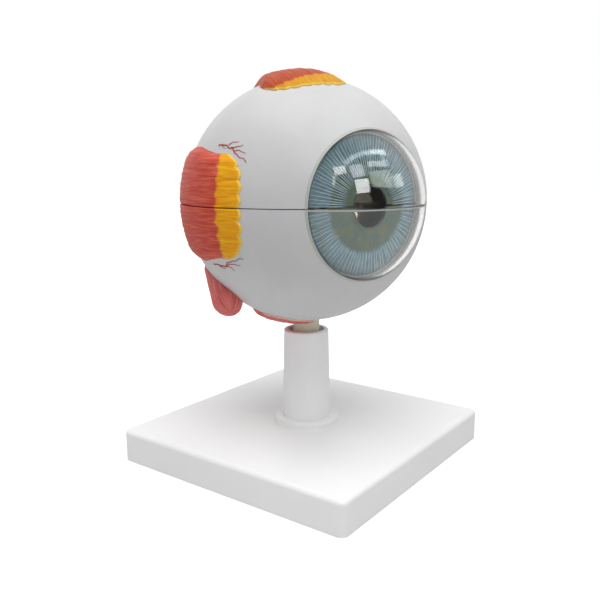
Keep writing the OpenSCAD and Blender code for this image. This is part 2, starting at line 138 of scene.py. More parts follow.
def eyePlace(tree):  # the eyeball's own frame, in metres from the ball's centre
    node = addNode(tree, "ShaderNodeMapping", {"Vector": objectPlace(tree)}, vector_type="TEXTURE")
    node.inputs["Location"].default_value = eyeMatrix.translation
    node.inputs["Rotation"].default_value = eyeMatrix.to_euler()
    return node.outputs["Vector"]


def stretched(tree, vector, scale):
    return addNode(tree, "ShaderNodeMapping", {"Vector": vector}, {"Scale": scale}).outputs["Vector"]


def lengthOf(tree, vector):
    return addNode(tree, "ShaderNodeVectorMath", {0: vector}, operation="LENGTH").outputs["Value"]


def alongPiece(tree):  # a piece's own UV map, whole and in its parts
    along = addNode(tree, "ShaderNodeUVMap", uv_map="Along").outputs[0]
    return along, addNode(tree, "ShaderNodeSeparateXYZ", {0: along}).outputs


def noisy(tree, vector, scale, detail=3.0, roughness=0.5, distortion=0.0):
    node = addNode(tree, "ShaderNodeTexNoise", {"Vector": vector},
                   {"Scale": scale, "Detail": detail, "Roughness": roughness, "Distortion": distortion})
    return node.outputs["Fac"]


def streaky(tree, along, scale, *settings):  # noise that is drawn out along one way of a UV map
    return noisy(tree, stretched(tree, along, (*scale, 1.0)), 1.0, *settings)


def bumped(tree, shader, height, depth):
    node = addNode(tree, "ShaderNodeBump", {"Height": height}, {"Distance": depth, "Strength": 1.0})
    tree.links.new(node.outputs["Normal"], shader.inputs["Normal"])


def colourIn(tree, shader, colour):
    tree.links.new(colour, shader.inputs["Base Color"])


def roughIn(tree, shader, grain, rough, low=0.3, high=0.7):
    tree.links.new(rescaled(tree, grain, low, high, *rough), shader.inputs["Roughness"])


# A moulded or painted surface: a faint cloudiness, a fine grain and a gloss that varies a little. A wall of
# the eyeball has another colour inside, which starts between two depths under the ball's surface
def mouldedFinish(name, look):
    finish, tree, shader = newFinish(name, look.get("shader"))
    place = objectPlace(tree)
    cloud = noisy(tree, place, look["cloudScale"], look.get("cloudDetail", 4.0))
    grain = noisy(tree, place, look["grainScale"], 5.0, 0.6)
    share = rescaled(tree, cloud, 0.3, 0.7, smooth=True)
    colour = mixed(tree, share, paint(*look["colour"]), paint(*look["shade"]))
    if "inside" in look:
        limits = [(eyeball["radius"] - depth) * mm for depth in look["insideFrom"]]
        isOutside = rescaled(tree, lengthOf(tree, eyePlace(tree)), *limits)
        colour = mixed(tree, isOutside, paint(*look["inside"]), colour)
    colourIn(tree, shader, colour)
    roughIn(tree, shader, grain, look["rough"])
    bumped(tree, shader, grain, look.get("grainDepth", 0.02) * mm)
    return finish


# A coloured surface between two tones, rougher in the paler one
def tonedFinish(name, dark, pale, rough=(0.3, 0.45), scale=180.0, depth=0.05, detail=4.0, values=None):
    finish, tree, shader = newFinish(name, values)
    tone = noisy(tree, objectPlace(tree), scale, detail)
    colourIn(tree, shader, graded(tree, tone, [(0.3, dark), (0.7, pale)]))
    roughIn(tree, shader, tone, rough)
    bumped(tree, shader, tone, depth * mm)
    return finish


# Plastic of one gloss between two tones, in a scratched pattern: the dome's frosted rim, and the painted
# shade on its inner wall
def scratchedFinish(name, dark, pale, rough, scale, detail):
    finish, tree, shader = newFinish(name, {"Roughness": rough})
    scratch = noisy(tree, objectPlace(tree), scale, detail)
    colourIn(tree, shader, mixed(tree, scratch, paint(*dark), paint(*pale)))
    bumped(tree, shader, scratch, 0.04 * mm)
    return finish


def recoat(finish, *nodeNames):  # a CAD node that stays gets its finish
    for nodeName in nodeNames:
        for materialSlot in cadNodes[nodeName].material_slots:
            materialSlot.material = finish


def linkPiece(name, mesh):
    piece = bpy.data.objects.new(name, mesh)
    bpy.context.scene.collection.objects.link(piece)
    return piece


# A closed piece from points in the eyeball's frame; per-point coordinates go into its UV map
def buildPiece(name, points, faces, finishes, along=None, faceFinish=None, sharp=40.0):
    mesh = bpy.data.meshes.new(name)
    mesh.from_pydata([tuple(point) for point in inWorld(points)], [], faces)
    for finish in finishes:
        mesh.materials.append(finish)
    if faceFinish is not None:
        mesh.polygons.foreach_set("material_index", np.asarray(faceFinish, np.int32))
    if along is not None:
        corners = np.zeros(len(mesh.loops), np.int32)
        mesh.loops.foreach_get("vertex_index", corners)
        layer = mesh.uv_layers.new(name="Along")
        layer.uv.foreach_set("vector", np.asarray(along, np.float32)[corners].ravel())
    tidied = bmesh.new()
    tidied.from_mesh(mesh)
    bmesh.ops.remove_doubles(tidied, verts=tidied.verts, dist=mergeWithin)
    bmesh.ops.recalc_face_normals(tidied, faces=tidied.faces)
    if tidied.calc_volume(signed=True) < 0:
        bmesh.ops.reverse_faces(tidied, faces=tidied.faces)
    tidied.to_mesh(mesh)
    tidied.free()
    mesh.shade_smooth()
    mesh.set_sharp_from_angle(angle=math.radians(sharp))
    return linkPiece(name, mesh)


def carried(piece, body, slotName, *stands):
    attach(piece, body)
    if stands:
        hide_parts(*stands)
    return piece


# Two matching grids of points, an outer and an inner skin, closed round their border
def closedShell(outer, inner):
    rows, columns = outer.shape[:2]
    index = np.arange(rows * columns).reshape(rows, columns)
    under = index + rows * columns
    faces = []
    for i in range(rows - 1):
        for j in range(columns - 1):
            faces.append((index[i, j], index[i, j + 1], index[i + 1, j + 1], index[i + 1, j]))
            faces.append((under[i, j], under[i + 1, j], under[i + 1, j + 1], under[i, j + 1]))
    border = ([(0, j) for j in range(columns)] + [(i, columns - 1) for i in range(1, rows)]
              + [(rows - 1, j) for j in range(columns - 2, -1, -1)]
              + [(i, 0) for i in range(rows - 2, 0, -1)])
    for here, there in zip(border, border[1:] + border[:1]):
        faces.append((index[there], index[here], under[here], under[there]))
    points = np.concatenate([outer.reshape(-1, 3), inner.reshape(-1, 3)])
    return points, [tuple(int(v) for v in face) for face in faces]


# Half a turned body: an outline of (place along the sight line, radius) is turned above or below the
# seam. Its two cut faces get the second finish, and so does a lip of a given width along them.
def halfTurned(outline, side, columns, relief=None, lip=0.0, seam=eyeball["seamHalf"]):
    outline = np.asarray(outline, float)
    count = len(outline)
    radii = outline[:, 1]

    def turnAt(level):  # where the outline, turned, is at a height over the middle of the seam
        return np.arcsin(np.clip(level / np.maximum(radii, 1e-6), 0, 1))
    first = turnAt(seam)
    inside = turnAt(seam + lip)
    steps = np.linspace(0, 1, columns + 1)
    turns = [inside + (math.pi - 2 * inside) * step for step in steps]
    if lip > 0:
        turns = [first] + turns + [math.pi - first]
    turns = np.array(turns)
    points = np.zeros((len(turns), count, 3))
    for j, turn in enumerate(turns):
        places = outline[:, 0].copy()
        if relief is not None:
            places += relief(radii, turn)
        points[j, :, 0] = places
        points[j, :, 1] = radii * np.cos(turn)
        points[j, :, 2] = side * np.maximum(radii * np.sin(turn), seam)
    faces, kinds = [], []
    columns = len(turns) - 1
    for j in range(columns):
        for k in range(count):
            after = (k + 1) % count
            faces.append((j * count + k, j * count + after, (j + 1) * count + after, (j + 1) * count + k))
            kinds.append(1 if lip > 0 and j in (0, columns - 1) else 0)
    faces += [tuple(range(count)), tuple(columns * count + k for k in range(count))]
    kinds += [1, 1]
    along = np.zeros((columns + 1, count, 2))
    along[:, :, 0] = turns / math.pi
    along[:, :, 1] = radii[None, :] / turnedSpan
    return points.reshape(-1, 3), faces, kinds, along.reshape(-1, 2)


def arc(centre, radius, start, stop, count):  # points (place, radius) on a ball about the sight line
    radii = np.linspace(start, stop, count)
    return [(centre + math.sqrt(max(radius ** 2 - r ** 2, 0)), r) for r in radii]


# Geometry Nodes trees

def newTree(name, inputs):
    tree = bpy.data.node_groups.new(name, "GeometryNodeTree")
    tree.is_modifier = True
    tree.interface.new_socket("Geometry", in_out="INPUT", socket_type="NodeSocketGeometry")
    for label, kind in inputs.items():
        tree.interface.new_socket(label, in_out="INPUT", socket_type="NodeSocket" + kind)
    tree.interface.new_socket("Geometry", in_out="OUTPUT", socket_type="NodeSocketGeometry")
    return tree, tree.nodes.new("NodeGroupInput").outputs, tree.nodes.new("NodeGroupOutput")


# Every tree ends in real faces with their finish on; moved takes them to the tree's centre and turn
def closeTree(tree, source, geometry, output, moved=False):
    if moved:
        geometry = addNode(tree, "GeometryNodeTransform", {
            "Geometry": geometry, "Translation": source["Centre"], "Rotation": source["Turn"]}).outputs[0]
    real = addNode(tree, "GeometryNodeRealizeInstances", {"Geometry": geometry})
    smooth = addNode(tree, "GeometryNodeSetShadeSmooth", {"Geometry": real.outputs[0]})
    coated = addNode(tree, "GeometryNodeSetMaterial",
                     {"Geometry": smooth.outputs[0], "Material": source["Finish"]})
    tree.links.new(coated.outputs[0], output.inputs[0])


def grown(name, tree, values, base=None):
    piece = linkPiece(name, base or bpy.data.meshes.new(name))
    modifier = piece.modifiers.new("Shape", "NODES")
    modifier.node_group = tree
    for item in tree.interface.items_tree:
        if item.item_type == "SOCKET" and item.in_out == "INPUT" and item.name in values:
            modifier[item.identifier] = values[item.name]
    graph = bpy.context.evaluated_depsgraph_get()
    shape = bpy.data.meshes.new_from_object(piece.evaluated_get(graph))
    piece.modifiers.remove(modifier)
    piece.data = shape
    return piece


def scattered(tree, source, low, high):  # a random value for each instance
    node = addNode(tree, "FunctionNodeRandomValue", {"Seed": source["Seed"]}, data_type="FLOAT")
    feed(tree, node.inputs[2], low)
    feed(tree, node.inputs[3], high)
    return node.outputs[1]


# Thin spokes between two radii about the line of sight, with some scatter: iris fibres, ciliary folds
def spokeTree():
    tree, source, output = newTree("Spokes", {
        "Count": "Int", "InnerRadius": "Float", "OuterRadius": "Float", "InnerPlace": "Float",
        "OuterPlace": "Float", "Thickness": "Float", "Scatter": "Float", "Side": "Float",
        "Centre": "Vector", "Turn": "Vector", "Seed": "Int", "Finish": "Material"})
    start = addNode(tree, "ShaderNodeCombineXYZ", {"X": source["InnerPlace"], "Y": source["InnerRadius"]})
    stop = addNode(tree, "ShaderNodeCombineXYZ", {"X": source["OuterPlace"], "Y": source["OuterRadius"]})
    line = addNode(tree, "GeometryNodeCurvePrimitiveLine",
                   {"Start": start.outputs[0], "End": stop.outputs[0]})
    fine = addNode(tree, "GeometryNodeResampleCurve", {"Curve": line.outputs[0]}, {"Count": 9})
    share = addNode(tree, "GeometryNodeSplineParameter").outputs["Factor"]
    fromMiddle = maths(tree, "ABSOLUTE", maths(tree, "MULTIPLY_ADD", share, 2.0, -1.0))
    girth = maths(tree, "SUBTRACT", 1.0, maths(tree, "POWER", fromMiddle, 6.0))  # thin at both ends
    profile = addNode(tree, "GeometryNodeCurvePrimitiveCircle", {"Radius": source["Thickness"]},
                      {"Resolution": 6})
    tube = addNode(tree, "GeometryNodeCurveToMesh",
                   {"Curve": fine.outputs[0], "Profile Curve": profile.outputs[0],
                    "Scale": maths(tree, "MAXIMUM", girth, 0.25)}, {"Fill Caps": True})
    points = addNode(tree, "GeometryNodePoints", {"Count": source["Count"]})
    index = addNode(tree, "GeometryNodeInputIndex").outputs[0]
    jitter = scattered(tree, source, maths(tree, "MULTIPLY", source["Scatter"], -1.0), source["Scatter"])
    step = maths(tree, "ADD", maths(tree, "ADD", index, 0.5), jitter)
    turn = maths(tree, "MULTIPLY", maths(tree, "DIVIDE", step, source["Count"]), math.pi)
    spin = addNode(tree, "ShaderNodeCombineXYZ", {"X": maths(tree, "MULTIPLY", turn, source["Side"])})
    size = addNode(tree, "ShaderNodeCombineXYZ", {"Y": scattered(tree, source, 0.985, 1.0)},
                   {"X": 1.0, "Z": 1.0})
    placed = addNode(tree, "GeometryNodeInstanceOnPoints",
                     {"Points": points.outputs[0], "Instance": tube.outputs[0],
                      "Rotation": spin.outputs[0], "Scale": size.outputs[0]})
    closeTree(tree, source, placed.outputs[0], output, True)
    return tree


# Round tubes along the edges of a mesh, each point with its own girth: vessels
def vesselTree():
    tree, source, output = newTree("Vessels", {"Sides": "Int", "Thickness": "Float", "Finish": "Material"})
    curve = addNode(tree, "GeometryNodeMeshToCurve", {"Mesh": source["Geometry"]})
    girth = addNode(tree, "GeometryNodeInputNamedAttribute", values={"Name": "girth"}, data_type="FLOAT")
    profile = addNode(tree, "GeometryNodeCurvePrimitiveCircle",
                      {"Radius": source["Thickness"], "Resolution": source["Sides"]})
    tube = addNode(tree, "GeometryNodeCurveToMesh",
                   {"Curve": curve.outputs[0], "Profile Curve": profile.outputs[0],
                    "Scale": girth.outputs[0]}, {"Fill Caps": True})
    closeTree(tree, source, tube.outputs[0], output)
    return tree


# Short rods packed in half a disc: the bundles in the nerve's cut end
def bundleTree():
    tree, source, output = newTree("Bundles", {
        "Count": "Int", "DiscRadius": "Float", "Core": "Float", "RodRadius": "Float", "RodDepth": "Float",
        "Side": "Float", "Gap": "Float", "Centre": "Vector", "Turn": "Vector", "Seed": "Int",
        "Finish": "Material"})
    goldenTurn = math.pi * (3 - math.sqrt(5))
    points = addNode(tree, "GeometryNodePoints", {"Count": source["Count"]})
    index = addNode(tree, "GeometryNodeInputIndex").outputs[0]
    share = maths(tree, "DIVIDE", maths(tree, "ADD", index, 0.5), source["Count"])
    radius = maths(tree, "MULTIPLY", source["DiscRadius"], maths(tree, "SQRT", share))
    turn = maths(tree, "MULTIPLY", index, goldenTurn)
    across = maths(tree, "MULTIPLY", radius, maths(tree, "COSINE", turn))
    up = maths(tree, "MULTIPLY", radius, maths(tree, "SINE", turn))
    place = addNode(tree, "ShaderNodeCombineXYZ", {"X": across, "Y": up})
    kept = addNode(tree, "GeometryNodeSetPosition",
                   {"Geometry": points.outputs[0], "Position": place.outputs[0]})
    fromMiddle = lengthOf(tree, addNode(tree, "GeometryNodeInputPosition").outputs[0])
    for value, least in ((maths(tree, "MULTIPLY", up, source["Side"]), source["Gap"]),
                         (fromMiddle, source["Core"])):
        tooNear = addNode(tree, "FunctionNodeCompare", data_type="FLOAT", operation="LESS_THAN")
        feed(tree, tooNear.inputs[0], value)
        feed(tree, tooNear.inputs[1], least)
        kept = addNode(tree, "GeometryNodeDeleteGeometry",
                       {"Geometry": kept.outputs[0], "Selection": tooNear.outputs[0]}, domain="POINT")
    rod = addNode(tree, "GeometryNodeMeshCone",
                  {"Radius Bottom": source["RodRadius"], "Depth": source["RodDepth"],
                   "Radius Top": maths(tree, "MULTIPLY", source["RodRadius"], 0.7)}, {"Vertices": 10})
    girth = scattered(tree, source, 0.75, 1.1)
    scale = addNode(tree, "ShaderNodeCombineXYZ", {"X": girth, "Y": girth}, {"Z": 1.0})
    placed = addNode(tree, "GeometryNodeInstanceOnPoints",
                     {"Points": kept.outputs[0], "Instance": rod.outputs[0], "Scale": scale.outputs[0]})
    closeTree(tree, source, placed.outputs[0], output, True)
    return tree


spokes, vessels, bundles = spokeTree(), vesselTree(), bundleTree()


# Half a ring of spokes. inner and outer are each a place on the sight line and a radius
def spokeRing(name, side, count, inner, outer, look, finish):
    return grown(name, spokes, {
        "Count": count, "InnerPlace": inner[0] * mm, "InnerRadius": inner[1] * mm,
        "OuterPlace": outer[0] * mm, "OuterRadius": outer[1] * mm, "Thickness": look["thick"] * mm,
        "Scatter": look["scatter"], "Side": float(side), "Seed": look["seed"] + side, "Finish": finish,
        "Centre": tuple(eyeMatrix.translation), "Turn": tuple(eyeMatrix.to_euler())})


# Camera, lights, floor and background

view = {
    "place": (-0.3491, -0.2540, 0.1839),
    "forward": (0.7868, 0.5850, -0.1963),
    "roll": -0.32,
    "lens": 42.55,
    "sensor": 36.0,
    "shiftX": 1 / 600,
}
cameraData = bpy.data.cameras.new("Camera")
cameraData.lens = view["lens"]
cameraData.sensor_width = view["sensor"]
cameraData.shift_x = view["shiftX"]
cameraData.clip_start = 0.01
camera = linkPiece("Camera", cameraData)
camera.location = view["place"]
camera.rotation_mode = "QUATERNION"
aim = Vector(view["forward"]).to_track_quat("-Z", "Y").to_matrix()
camera.rotation_quaternion = (aim @ Matrix.Rotation(math.radians(view["roll"]), 3, "Z")).to_quaternion()
bpy.context.scene.camera = camera
bpy.context.scene.view_settings.view_transform = "Standard"

lamps = {
    "overhead": {"turn": -140.0, "rise": 78.0, "far": 1.6, "size": (1.5, 1.5), "glow": 3.1,
                 "inGloss": False},
    "leftBox": {"turn": 172.0, "rise": 24.0, "far": 1.4, "size": (1.0, 1.0), "glow": 0.25},
    "rightBox": {"turn": -85.0, "rise": 35.0, "far": 1.4, "size": (1.0, 1.0), "glow": 0.35,
                 "inGloss": False},
}
# Panes of a tall window that only gloss and glass show: direction seen from the model's middle, width,
# height and lean, in degrees, then the pane's glow and tint
daylight, skylight = (1, 1, 1), (0.86, 0.93, 1.0)
treelight, warmlight = (0.9, 1.0, 0.93), (1.0, 0.97, 0.9)
panes = {
    "far": 1.3,
    "places": [
        (-111.5, 24, 18, 16, 0, 8.5, daylight), (-82, 28, 33, 18, -10, 2.6, treelight),
        (-57, 21, 17, 11, -5, 3.4, treelight), (-113.5, 42, 20, 15, 0, 4.6, skylight),
        (-76, 43.5, 33, 6, -20, 4.6, skylight), (-122, 55.8, 22, 5.5, 30, 3.2, skylight),
        (-97, 59.8, 36, 5.5, 0, 3.6, skylight), (-72, 56.9, 18, 5.5, -23, 4.4, skylight),
        (-54, 50.8, 27, 5.5, -37, 6.0, skylight), (-140, 44.5, 19, 10, 10, 6.0, warmlight),
        (-149, 31.5, 4, 11, 0, 4.0, warmlight), (-58.5, 40.5, 2, 9, 0, 5.0, daylight),
    ],
}
lampAim = Vector((0, 0, 0.13))  # the model's middle


def hangLamp(name, turn, rise, far, size, glow, lean=0.0, inGloss=True):  # glow: brightness of its face
    lampData = bpy.data.lights.new(name, "AREA")
    lampData.shape = "RECTANGLE"
    lampData.size, lampData.size_y = size
    lampData.energy = glow * math.pi * size[0] * size[1]
    light = linkPiece(name, lampData)
    turn, rise = math.radians(turn), math.radians(rise)
    aim = Vector((math.cos(turn) * math.cos(rise), math.sin(turn) * math.cos(rise), math.sin(rise)))
    light.location = lampAim + aim * far
    light.rotation_mode = "QUATERNION"
    light.rotation_quaternion = aim.to_track_quat("Z", "Y") @ Quaternion((0, 0, 1), math.radians(lean))
    light.visible_glossy = light.visible_transmission = inGloss
    return light


for name, lamp in lamps.items():
    hangLamp(name, **lamp)
for index, (turn, rise, wide, high, lean, glow, tint) in enumerate(panes["places"]):
    size = (panes["far"] * math.radians(wide) * math.cos(math.radians(rise)),
            panes["far"] * math.radians(high))
    pane = hangLamp("pane_" + str(index), turn, rise, panes["far"], size, glow, lean)
    pane.data.color = tint
    pane.visible_diffuse = False

# Backdrop: white where the camera sees it. Gloss and glass see it white behind the model and dimmer on the
# camera's side of the room
air = {"fill": 0.45, "seen": 1.0, "roomInGloss": 0.12, "roomInGlass": 0.2, "backdropSide": (0.8, 0.6, 0.0),
       "from": -0.3, "to": 0.15}
world = bpy.data.worlds.new("World")
bpy.context.scene.world = world
world.use_nodes = True
sky = world.node_tree
background = sky.nodes["Background"]
rays = addNode(sky, "ShaderNodeLightPath").outputs
glassy = maths(sky, "MAXIMUM", rays["Is Glossy Ray"], rays["Is Transmission Ray"])
facing = addNode(sky, "ShaderNodeVectorMath", {0: addNode(sky, "ShaderNodeTexCoord").outputs["Generated"]},
                 {1: air["backdropSide"]}, operation="DOT_PRODUCT").outputs["Value"]
behind = rescaled(sky, facing, air["from"], air["to"], smooth=True)
room = blended(sky, rays["Is Transmission Ray"], air["roomInGloss"], air["roomInGlass"])
indirect = blended(sky, glassy, air["fill"], blended(sky, behind, room, air["seen"]))
feed(sky, background.inputs["Strength"], blended(sky, rays["Is Camera Ray"], indirect, air["seen"]))
background.inputs["Color"].default_value = (1, 1, 1, 1)

floorLook = {"half": 3.0, "colour": (206, 206, 207), "lift": 0.75, "fadeFrom": 0.35, "fadeTo": 1.2}
floorMesh = bpy.data.meshes.new("Floor")
half = floorLook["half"]
floorMesh.from_pydata([(-half, -half, 0), (half, -half, 0), (half, half, 0), (-half, half, 0)], [],
                      [(0, 1, 2, 3)])
floorFinish, tree, shader = newFinish("PaleFloor", {"Roughness": 0.9, "Specular IOR Level": 0.0})
shader.inputs["Base Color"].default_value = paint(*floorLook["colour"])
shader.inputs["Emission Color"].default_value = (1, 1, 1, 1)
seen = addNode(tree, "ShaderNodeLightPath").outputs
seenShare = maths(tree, "MAXIMUM", seen["Is Camera Ray"], seen["Is Transmission Ray"])
lift = rescaled(tree, lengthOf(tree, objectPlace(tree)), floorLook["fadeFrom"], floorLook["fadeTo"],
                floorLook["lift"], 1.0, True)
feed(tree, shader.inputs["Emission Strength"], maths(tree, "MULTIPLY", seenShare, lift))
floorMesh.materials.append(floorFinish)
floor = linkPiece("Floor", floorMesh)
print("camera, lights and floor set")


# Stand, screw and pins

standLook = {
    "StandWhite": {"nodes": ("base_plate", "column"), "colour": (251, 251, 251), "shade": (247, 247, 248),
                   "cloudScale": 18.0, "grainScale": 900.0, "rough": (0.30, 0.42)},
    "PegCream": {"nodes": ("swivel_peg",), "colour": (236, 231, 214), "shade": (229, 222, 200),
                 "cloudScale": 60.0, "grainScale": 900.0, "rough": (0.35, 0.48)},
    "ScrewSteel": {"nodes": ("column_screw", "column_washer"), "colour": (196, 198, 202),
                   "shade": (170, 172, 178), "cloudScale": 200.0, "grainScale": 2400.0,
                   "rough": (0.25, 0.4), "shader": {"Metallic": 1.0}},
    "PinBrass": {"nodes": ("locating_pins",), "colour": (214, 178, 104), "shade": (188, 148, 80),
                 "cloudScale": 240.0, "grainScale": 2400.0, "rough": (0.22, 0.36),
                 "shader": {"Metallic": 1.0}},
}
for name, look in standLook.items():
    recoat(mouldedFinish(name, look), *look["nodes"])
print("stand coated")


# White wall of the eyeball

wallLook = {
    "colour": (212, 212, 212), "shade": (204, 204, 205), "inside": (206, 204, 200), "insideFrom": (1.2, 0.8),
    "cloudScale": 22.0, "cloudDetail": 5.0, "grainScale": 520.0, "grainDepth": 0.03, "rough": (0.44, 0.56),
    "shader": {"Specular IOR Level": 0.25},
}
recoat(mouldedFinish("ScleraPaint", wallLook), "sclera_lower", "sclera_upper")


# Clear dome in two halves. Its cut faces and the rim that is glued in are frosted, and the wall next to
# that rim is painted darker inside: painted shade where the opening's wall lies in shadow

dome = {
    "radius": 50.0, "wall": 2.0, "centre": 30.65, "rimRadius": 41.15, "backPlace": 54.41,
    "innerRimRadius": 38.7, "columns": 160, "rings": 44, "lip": 0.7, "frostedFrom": 39.6, "paintedShadeFrom": 38.0,
}
domeClear, tree, shader = newFinish("DomeClear", {
    "Base Color": (0.985, 0.99, 0.99, 1), "Roughness": 0.015, "IOR": 1.45, "Transmission Weight": 1.0,
    "Specular IOR Level": 0.35})
bumped(tree, shader, noisy(tree, objectPlace(tree), 120.0), 0.01 * mm)
sideOn = addNode(tree, "ShaderNodeLayerWeight", values={"Blend": 0.5}).outputs["Facing"]
thick = rescaled(tree, sideOn, 0.3, 0.8, smooth=True)  # painted reflection: the dome greys where it is seen edge-on, standing in for the dark surroundings it reflects there
colourIn(tree, shader, mixed(tree, thick, (0.985, 0.99, 0.985, 1), (0.62, 0.63, 0.60, 1)))
# Painted shade: a dark grey for the dome's inner wall next to its rim, standing in for the shadow there
domeWallShade = scratchedFinish("DomeRimPaintedShade", (112, 116, 108), (140, 144, 136), 0.4, 300.0, 3.0)
domeCut = scratchedFinish("DomeFrosted", (176, 179, 173), (192, 195, 189), 0.5, 1500.0, 4.0)
domeOutline = (arc(dome["centre"], dome["radius"], 0, dome["rimRadius"], dome["rings"])
               + [(dome["backPlace"], dome["rimRadius"]), (dome["backPlace"], dome["innerRimRadius"])]
               + arc(dome["centre"], dome["radius"] - dome["wall"], dome["innerRimRadius"], 0,
                     dome["rings"]))
for side, word in halves:
    points, faces, kinds, along = halfTurned(domeOutline, side, dome["columns"],
                                             lip=dome["lip"] if side < 0 else 0.0)
    count = len(domeOutline)
    for number, face in enumerate(faces[:-2]):
        least = min(domeOutline[k % count][1] for k in face)
        if least > dome["frostedFrom"]:
            kinds[number] = 1
        elif least > dome["paintedShadeFrom"] and min(k % count for k in face) > dome["rings"]:
            kinds[number] = 2
    piece = buildPiece("dome_" + word, points, faces, [domeClear, domeCut, domeWallShade], along, kinds, 30.0)
    carried(piece, word + "_eye", "cornea_clear", "cornea_" + word)
print("wall and dome made")


# Iris: a cone with radial relief, a paler outer ring and thin raised fibres. The ruff is the radius at which
# the paler ring starts

iris = {
    "pupil": 11.0, "edge": 38.4, "shownEdge": 37.3, "place": 53.81, "rise": 5.2, "thickness": 1.8,
    "ruff": 25.0, "wobble": 5.5, "sunk": 0.25, "seamHalf": 0.55, "columns": 360, "rings": 56, "seed": 7,
    "waves": (46, 73, 121), "waveDepth": 0.16, "ripples": 160, "rippleDepth": 0.05,
    "step": 0.35, "margin": 0.3,
}
irisColours = {
    "outer": [(0.30, (86, 113, 124)), (0.5, (106, 133, 143)), (0.72, (132, 157, 165))],
    "inner": [(0.3, (66, 82, 74)), (0.55, (84, 101, 92)), (0.75, (106, 122, 112))],
    "olive": (108, 112, 74), "nearPupil": (40, 44, 46), "nearEdge": (66, 84, 94), "rim": (186, 190, 184),
}
irisFibres = {"counts": {-1: 45, 1: 54}, "from": {-1: 0.6, 1: -9.0}, "past": 0.2, "sunk": 0.12,
              "thick": 0.27, "scatter": 0.2, "seed": iris["seed"]}


def irisPlace(radii):  # the iris's front, without relief
    share = (iris["edge"] - radii) / (iris["edge"] - iris["pupil"])
    return iris["place"] + iris["thickness"] + iris["rise"] * share


def irisRelief(radii, turn):
    phases = np.random.default_rng(iris["seed"]).uniform(0, 6.28, 3)
    toEdge, toPupil, toRuff = iris["edge"] - radii, radii - iris["pupil"], iris["ruff"] - radii
    waves = sum(np.sin(turn * count + phase) for count, phase in zip(iris["waves"], phases)) / 3
    outer = iris["waveDepth"] * waves * np.clip(-toRuff / 3, 0, 1) * np.clip(toEdge / 1.5, 0, 1)
    ripples = np.sin(turn * iris["ripples"] + 3 * np.sin(turn * 9)) * np.clip(toRuff / 2, 0, 1)
    inner = iris["rippleDepth"] * ripples * np.clip(toPupil / 2, 0, 1)
    step = -iris["step"] / (1 + np.exp(-toRuff / 0.35)) * np.clip(toPupil / 3, 0, 1)
    margin = iris["margin"] * np.exp(-((toPupil - 0.9) / 0.7) ** 2)
    front = np.where(np.arange(len(radii)) < iris["rings"], 1.0, 0.0)
    return (outer + inner + step + margin - iris["sunk"]) * front * np.clip(toEdge / 0.5, 0, 1)


irisOutline = ([(irisPlace(r), r) for r in np.linspace(iris["pupil"], iris["edge"], iris["rings"])]
               + [(iris["place"], iris["edge"]), (iris["place"] + iris["rise"], iris["pupil"])])
irisPaint, tree, shader = newFinish("IrisPaint", {"Specular IOR Level": 0.2})
along, parts = alongPiece(tree)
radius = maths(tree, "MULTIPLY", parts["Y"], turnedSpan)
streak = streaky(tree, along, (60.0, 14.0), 4.0, 0.6)
fineStreak = streaky(tree, along, (190.0, 30.0))
patches = rescaled(tree, streaky(tree, along, (7.0, 9.0)), 0.42, 0.66, 0.0, 0.6, True)
ring = mixed(tree, patches, graded(tree, fineStreak, irisColours["inner"]), paint(*irisColours["olive"]))
wobble = maths(tree, "MULTIPLY_ADD", streaky(tree, along, (34.0, 2.0), 4.0, 0.7), iris["wobble"],
               -0.5 * iris["wobble"])
inOuter = rescaled(tree, maths(tree, "ADD", radius, wobble), iris["ruff"] - 1.4, iris["ruff"] + 1.0,
                   smooth=True)
ring = mixed(tree, inOuter, ring, graded(tree, streak, irisColours["outer"]))
for tint, start, stop, *shares in (("nearPupil", iris["pupil"], iris["pupil"] + 1.6, 0.75, 0.0),
                                   ("nearEdge", iris["shownEdge"] - 1.4, iris["shownEdge"], 0.0, 0.5),
                                   ("rim", iris["shownEdge"], iris["shownEdge"] + 0.35, 0.0, 1.0)):
    share = rescaled(tree, radius, start, stop, *shares, True)
    ring = mixed(tree, share, ring, paint(*irisColours[tint]))
colourIn(tree, shader, ring)
roughIn(tree, shader, streak, (0.42, 0.58))
bumped(tree, shader, maths(tree, "ADD", streak, maths(tree, "MULTIPLY", fineStreak, 0.5)), 0.06 * mm)
irisFibre = tonedFinish("IrisFibre", (150, 172, 180), (184, 202, 208), (0.45, 0.6), 260.0, detail=3.0,
                        values={"Specular IOR Level": 0.2})
for side, word in halves:
    points, faces, kinds, along = halfTurned(irisOutline, side, iris["columns"], irisRelief,
                                             seam=iris["seamHalf"])
    piece = buildPiece("iris_" + word + "_relief", points, faces, [irisPaint, irisPaint], along, kinds, 50.0)
    carried(piece, word + "_choroid", "iris_blue_grey", "iris_" + word)
    ends = [(irisPlace(r) - irisFibres["sunk"], r) for r in (iris["ruff"] + irisFibres["from"][side],
                                                             iris["shownEdge"] + irisFibres["past"])]
    piece = spokeRing("iris_fibres_" + word, side, irisFibres["counts"][side], *ends, irisFibres, irisFibre)
    carried(piece, word + "_choroid", "iris_blue_grey")
print("iris made")


# Vessel layer: red outside with dark vessels, orange retina inside with a yellow spot and a pale disc

